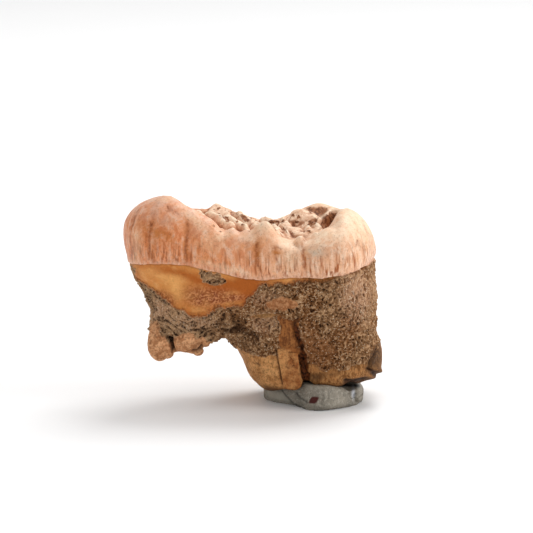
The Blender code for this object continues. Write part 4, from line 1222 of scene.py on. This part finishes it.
def enamel_colour(look):
    """The crown: ochre pink on the left to cream on the right, its folds, veins, streaks and stains."""
    mix, level, add, times, coated = look.mix, look.level, look.add, look.times, look.coated
    side = level(add("east", level("broad", 0.3, 0.7, -3.0, 3.0)), -10.0, 12.0)
    veins = mix((0.62, 0.175, 0.055), (0.70, 0.33, 0.16), side)
    clouds = mix((0.86, 0.50, 0.34), (0.92, 0.70, 0.52), side)
    ochre = mix((0.74, 0.25, 0.075), (0.84, 0.46, 0.22), side)
    # The colour of the upward-facing enamel: painted top light over worn paler enamel.
    crest = mix((0.80, 0.50, 0.36), (0.92, 0.70, 0.50), side)
    low = level("neck", 5.0, 0.8)
    thin_lines = times(level("threads", 0.52, 0.68), level("east", -4.0, 8.0, 0.45, 0.75))
    lines = add(times(level("streaks", 0.5, 0.66), 0.9), thin_lines)
    wall = coated(mix((0.82, 0.33, 0.15), (0.85, 0.515, 0.33), side), (
        (veins, level("veins", 0.46, 0.62), look.math("SUBTRACT", 0.8, times(side, 0.3))),
        (clouds, level("veins", 0.49, 0.36), 0.7),
        (ochre, level("patchy", 0.52, 0.68), look.math("SUBTRACT", 0.55, times(side, 0.25))),
        ((0.36, 0.10, 0.028), lines, low, 0.9),
        ((0.86, 0.56, 0.40), level("streaks", 0.47, 0.3), low, 0.5),
        ((0.80, 0.50, 0.35), level("neck", 1.0, 0.15), level("fine", 0.35, 0.6, 0.15, 0.5)),
        ((0.50, 0.165, 0.035), "amber", level(add("fine", "patchy"), 0.75, 1.15, 0.35, 1.0)),
        ((0.60, 0.48, 0.36), "grey", level("veins", 0.35, 0.6, 0.9, 0.45)),
        ((0.93, 0.71, 0.48), "pale", level("veins", 0.35, 0.6, 0.85, 0.5)),
        # Upward-facing enamel painted paler: painted top light, partly worn enamel.
        (crest, "crest", level("patchy", 0.35, 0.6, 0.75, 0.3)),
        ((0.46, 0.17, 0.06), level("speck", 0.6, 0.74), 0.4),
    ))
    # The pit's dark brown, deepened to near black as painted shade.
    pit_shade = mix((0.215, 0.078, 0.033), (0.06, 0.018, 0.007), level("fine", 0.42, 0.6))
    # Dark brown between the nodules and cream on their tops: painted shade and painted top light.
    folds = coated(mix((0.60, 0.30, 0.17), (0.93, 0.67, 0.48), level("fold", 0.05, 0.55)), (
        ((0.62, 0.30, 0.16), level("patchy", 0.46, 0.62), 0.6),
        ((0.46, 0.18, 0.08), level("fine", 0.54, 0.68), 0.4),
        # Creases darker: painted shade with brown dirt.
        ((0.30, 0.11, 0.045), "crease", level("fine", 0.3, 0.6, 0.4, 0.8)),
        # Hollows darker: painted shade.
        ((0.46, 0.19, 0.09), level("proud", 0.03, -0.06, 0.0, 0.75)),
        ((0.22, 0.075, 0.03), level("proud", -0.04, -0.18, 0.0, 0.9)),
        # Painted shade in the pit.
        (pit_shade, "pit"),
    ))
    # Brown dirt and painted shade of the folds and near rim.
    dirt_and_shade_colour = mix((0.36, 0.145, 0.06), (0.16, 0.055, 0.02), level("fine", 0.43, 0.6))
    ragged = add("dirt_and_shade", add(times("fine", 0.9), times("patchy", 0.6)))
    return coated(wall, (
        (folds, "chew"),
        # Painted highlight on the edges that stand out.
        ((0.97, 0.80, 0.60), level("proud", 0.04, 0.2, 0.0, 0.75)),
        (dirt_and_shade_colour, level(ragged, 0.95, 1.35), level("dirt_and_shade", 0.02, 0.3)),
        # Painted highlight along a rim edge.
        ((0.93, 0.72, 0.52), "edge", 0.6),
        ((0.26, 0.062, 0.015), "stain", level("fine", 0.3, 0.6, 0.55, 0.95)),
        (0.72, level("grainy", 0.5, 0.72)),
    ))


def bone_colour(look):
    """The bare bone of neck and roots: orange above, red and scabby at the crust, tan and pink below."""
    mix, level, add, times, coated = look.mix, look.level, look.add, look.times, look.coated
    curls = mix((0.26, 0.065, 0.02), (0.62, 0.25, 0.105), level("curls", 0.1, 0.8))
    scabby = mix((0.46, 0.15, 0.045), (0.20, 0.06, 0.02), level("curls", 0.5, 0.1))
    tan = coated(mix((0.68, 0.34, 0.125), (0.46, 0.20, 0.062), level("patchy", 0.38, 0.65)), (
        (0.7, level("fibres", 0.5, 0.7)),
        ((0.14, 0.05, 0.016), level("fine", 0.54, 0.75), 0.6),
    ))
    pink = mix((0.43, 0.18, 0.075), (0.78, 0.41, 0.205), level(add("fine", "patchy"), 0.8, 1.2))
    rusty = mix((0.34, 0.125, 0.032), (0.15, 0.045, 0.010), level(add("grainy", "fibres"), 0.85, 1.15))
    chip_share = level(add("patchy", times("east", 0.12)), 0.85, 1.2)
    gritty = look.math("SUBTRACT", level("foot", 0.0, 1.0, 0.3, 1.0), times("stump", 0.6))
    return coated(mix((0.68, 0.275, 0.07), (0.58, 0.19, 0.038), level("broad", 0.4, 0.65)), (
        ((0.78, 0.39, 0.13), level("patchy", 0.45, 0.7), 0.6),
        ((0.42, 0.10, 0.010), "deep", 0.95),
        ((0.90, 0.46, 0.15), "yellow", level("patchy", 0.3, 0.6, 0.95, 0.5)),
        (curls, "red", level("patchy", 0.3, 0.6, 1.0, 0.7)),
        (scabby, level("border", 0.03, 0.5), level("patchy", 0.3, 0.55, 0.3, 0.75)),
        (tan, "foot"),
        (coated(pink, ((0.7, level("grainy", 0.46, 0.7)),)), "stump", 0.95),
        ((0.19, 0.068, 0.014), "ochre", level(add("patchy", "fibres"), 0.8, 1.15, 0.95, 0.1)),
        ((0.055, 0.023, 0.006), "sooty", level("fine", 0.3, 0.65, 1.0, 0.75)),
        (rusty, "strip", 0.95),
        (mix((0.62, 0.29, 0.10), (0.30, 0.095, 0.022), chip_share), "block", 0.9),
        (mix((0.50, 0.235, 0.105), (0.30, 0.115, 0.04), level("fine", 0.4, 0.6)), "plate", 0.9),
        # Dark line just below the enamel's edge: a brown line and painted shade under the enamel's overhang.
        ((0.20, 0.06, 0.014), level("neck", -0.3, -0.02), 0.5),
        (0.55, level("grainy", 0.46, 0.72), gritty),
        (0.65, level("speck", 0.55, 0.72), gritty),
        # Darker in hollows: painted shade.
        (0.4, level("proud", -0.02, -0.3)),
    ))


def crust_colour(look):
    """The crust: nearly black in its pits as painted shade, umber above, straw-coloured on its ridges, partly
    its own tone and partly painted highlight.
    """
    mix, level, times = look.mix, look.level, look.times
    deep = look.add(times("pore", 0.7), times(level("fine", 0.3, 0.7), 0.4))
    umber = mix((0.23, 0.112, 0.046), (0.185, 0.073, 0.022), level("broad", 0.42, 0.6))
    umber = mix((0.40, 0.24, 0.125), umber, level("east", -9.0, -1.0))
    # Nearly black in the pits: painted shade.
    return look.coated(mix((0.034, 0.013, 0.005), umber, level(deep, 0.12, 0.6)), (
        # Straw on the ridges: partly the crust's own tone, partly painted highlight.
        ((0.51, 0.30, 0.155), level(deep, 0.6, 1.0), 0.85),
        # Lighter where the crust stands out, darker in its hollows: painted highlight and painted shade.
        ((0.50, 0.33, 0.20), level("proud", 0.06, 0.3, 0.0, 0.3)),
        (0.45, level("proud", 0.0, -0.3)),
        ((0.52, 0.28, 0.16), "pink", level("pore", 0.3, 0.7, 0.15, 0.7)),
        ((0.80, 0.60, 0.44), "pink", level("fibres", 0.54, 0.66, 0.0, 0.6)),
        (0.4, "pink", level("fibres", 0.44, 0.34)),
        ((0.045, 0.017, 0.006), "dark", level("pore", 0.9, 0.3, 0.3, 0.9)),
        ((0.24, 0.09, 0.028), "rust", level("pore", 0.2, 0.8, 0.25, 0.7)),
        # Light specks on the crust: painted highlights.
        ((0.80, 0.64, 0.46), level("speck", 0.62, 0.72), level(deep, 0.3, 0.7), 0.75),
        # Darker towards the bottom on the right: painted shade.
        (0.62, level("up", 6.0, 3.2), level("east", 0.0, 4.0)),
    ))


def tooth_material():
    """The crown's look above the neck, and the root's with its crust, groove and cuts below it."""
    look = Look("tooth look", TOOTH_NOISES)
    mix, level, add, times = look.mix, look.level, look.add, look.times
    # A light band along the crust's raised edge: painted highlight.
    crust_rim_highlight = times(level("crust", 0.1, 0.45), level("crust", 0.9, 0.55), level("east", 4.0, 0.0))
    # The groove's dark red-brown, deepened to near black as painted shade in the groove.
    groove_shade = mix((0.15, 0.040, 0.009), (0.03, 0.007, 0.002), level("fine", 0.42, 0.6))
    root = look.coated(bone_colour(look), (
        (crust_colour(look), "crust"),
        ((0.66, 0.36, 0.19), crust_rim_highlight, 0.6),
        (groove_shade, level("groove", 0.08, 0.55, 0.0, 0.97)),
        # Painted shade in the pulp hollow.
        ((0.10, 0.045, 0.02), "inside", 0.8),
        # Painted shade on the underside.
        ((0.09, 0.034, 0.008), "under", 0.9),
        # Painted shade in the cuts.
        ((0.03, 0.010, 0.003), "cut"),
    ))
    is_enamel = level("neck", -0.07, 0.06)
    gloss = add(level("fine", 0.3, 0.7, 0.34, 0.52), times("chew", 0.15))
    matt = add(times("crust", 0.3), 0.65)
    roughness = look.put("ShaderNodeMix", {0: is_enamel, 2: matt, 3: gloss}, data_type="FLOAT").outputs[0]
    enamel_bump = look.bump(add("streaks", times("fine", 0.4)), 0.07, 0.6)
    grit = times(add("fine", "speck"), level("crust", 0.0, 1.0, 0.15, 1.0))
    normal = look.bump(grit, 0.14, 0.8, Normal=enamel_bump)
    return look.finish(mix(root, enamel_colour(look), is_enamel), roughness, 0.16, normal)


def putty_material():
    """Pale grey putty, darker towards the floor as painted shade, lighter on its lower part as painted fill
    light, with painted shade in its seams and under the tooth, a painted highlight and the fleck.
    """
    look = Look("putty look", PUTTY_NOISES)
    level = look.level
    colour = look.coated(look.mix((0.31, 0.275, 0.22), (0.22, 0.195, 0.155), level("broad", 0.35, 0.65)), (
        ((0.42, 0.385, 0.32), level("fine", 0.48, 0.66), 0.6),
        (0.65, level("speck", 0.55, 0.7)),
        # Darker towards the floor: painted shade.
        (0.7, level("up", 1.1, 0.1)),
        # Lighter on the part behind the fold: painted fill light.
        ((0.44, 0.41, 0.34), "lower", 0.65),
        # Painted shade in the seams.
        (0.35, "seam"),
        # Painted shade in the gap under the tooth.
        (0.02, "gap"),
        # A bluish painted highlight.
        ((0.50, 0.52, 0.56), "sheen", 0.8),
        ((0.06, 0.006, 0.003), "fleck"),
    ))
    return look.finish(colour, 0.6, 0.25, look.bump("fine", 0.08, 0.5))


def dressed(name, mesh, material, node):
    """A piece of the look, in metres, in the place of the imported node."""
    mesh.transform(Matrix.Scale(MM, 4))
    mesh.materials.clear()
    mesh.materials.append(material)
    mesh.shade_smooth()
    piece = linked(name, mesh)
    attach(piece, "root")
    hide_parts(node)


def area_light(name, place, size, power):
    """A square lamp, in metres and watts, that faces the middle of the tooth."""
    data = bpy.data.lights.new(name, "AREA")
    data.shape = "SQUARE"
    data.size = size
    data.energy = power
    lamp = linked(name, data)
    lamp.location = place
    lamp.rotation_euler = (Vector(LIT_MIDDLE) - lamp.location).to_track_quat("-Z", "Y").to_euler()


def light_tent():
    """A world that is white behind the tooth and lights it more softly."""
    world = bpy.data.worlds.new("light tent")
    world.use_nodes = True
    tree = world.node_tree
    background = tree.nodes["Background"].inputs
    background["Color"].default_value = (1.0, 1.0, 1.0, 1.0)
    strength = tree.nodes.new("ShaderNodeMapRange")
    strength.inputs["To Min"].default_value = TENT_LIGHT
    strength.inputs["To Max"].default_value = 1.0
    seen_directly = tree.nodes.new("ShaderNodeLightPath").outputs["Is Camera Ray"]
    tree.links.new(seen_directly, strength.inputs["Value"])
    tree.links.new(strength.outputs["Result"], background["Strength"])
    return world


def paper_floor():
    """A wide sheet of white paper under the putty."""
    mesh = bpy.data.meshes.new("floor")
    mesh.from_pydata(FLOOR_CORNERS, [], [range(len(FLOOR_CORNERS))])
    look = Look("white floor", FLOOR_NOISES)
    mesh.materials.append(look.finish(look.mix((0.93, 0.93, 0.93), (0.95, 0.95, 0.95), "cloudy"), 0.6))
    return linked("floor", mesh)


def camera():
    """The camera that took the front view."""
    data = bpy.data.cameras.new("camera")
    data.sensor_width = 36.0
    data.lens = CAMERA_LENS
    data.clip_start = 0.01
    made = linked("camera", data)
    made.location = Vector(CAMERA_TARGET * MM) + Vector(BACK) * CAMERA_DISTANCE * MM
    made.rotation_euler = Vector(BACK).to_track_quat("Z", "Y").to_euler()
    return made


tooth = tooth_mesh()
putty = putty_mesh(tooth)
dressed("tooth", tooth, tooth_material(), "molar")
dressed("putty", putty, putty_material(), "putty_pad")
scene = bpy.context.scene
scene.view_settings.view_transform = "Standard"
scene.world = light_tent()
floor = paper_floor()
for lamp in LAMPS:
    area_light(*lamp)
scene.camera = camera()
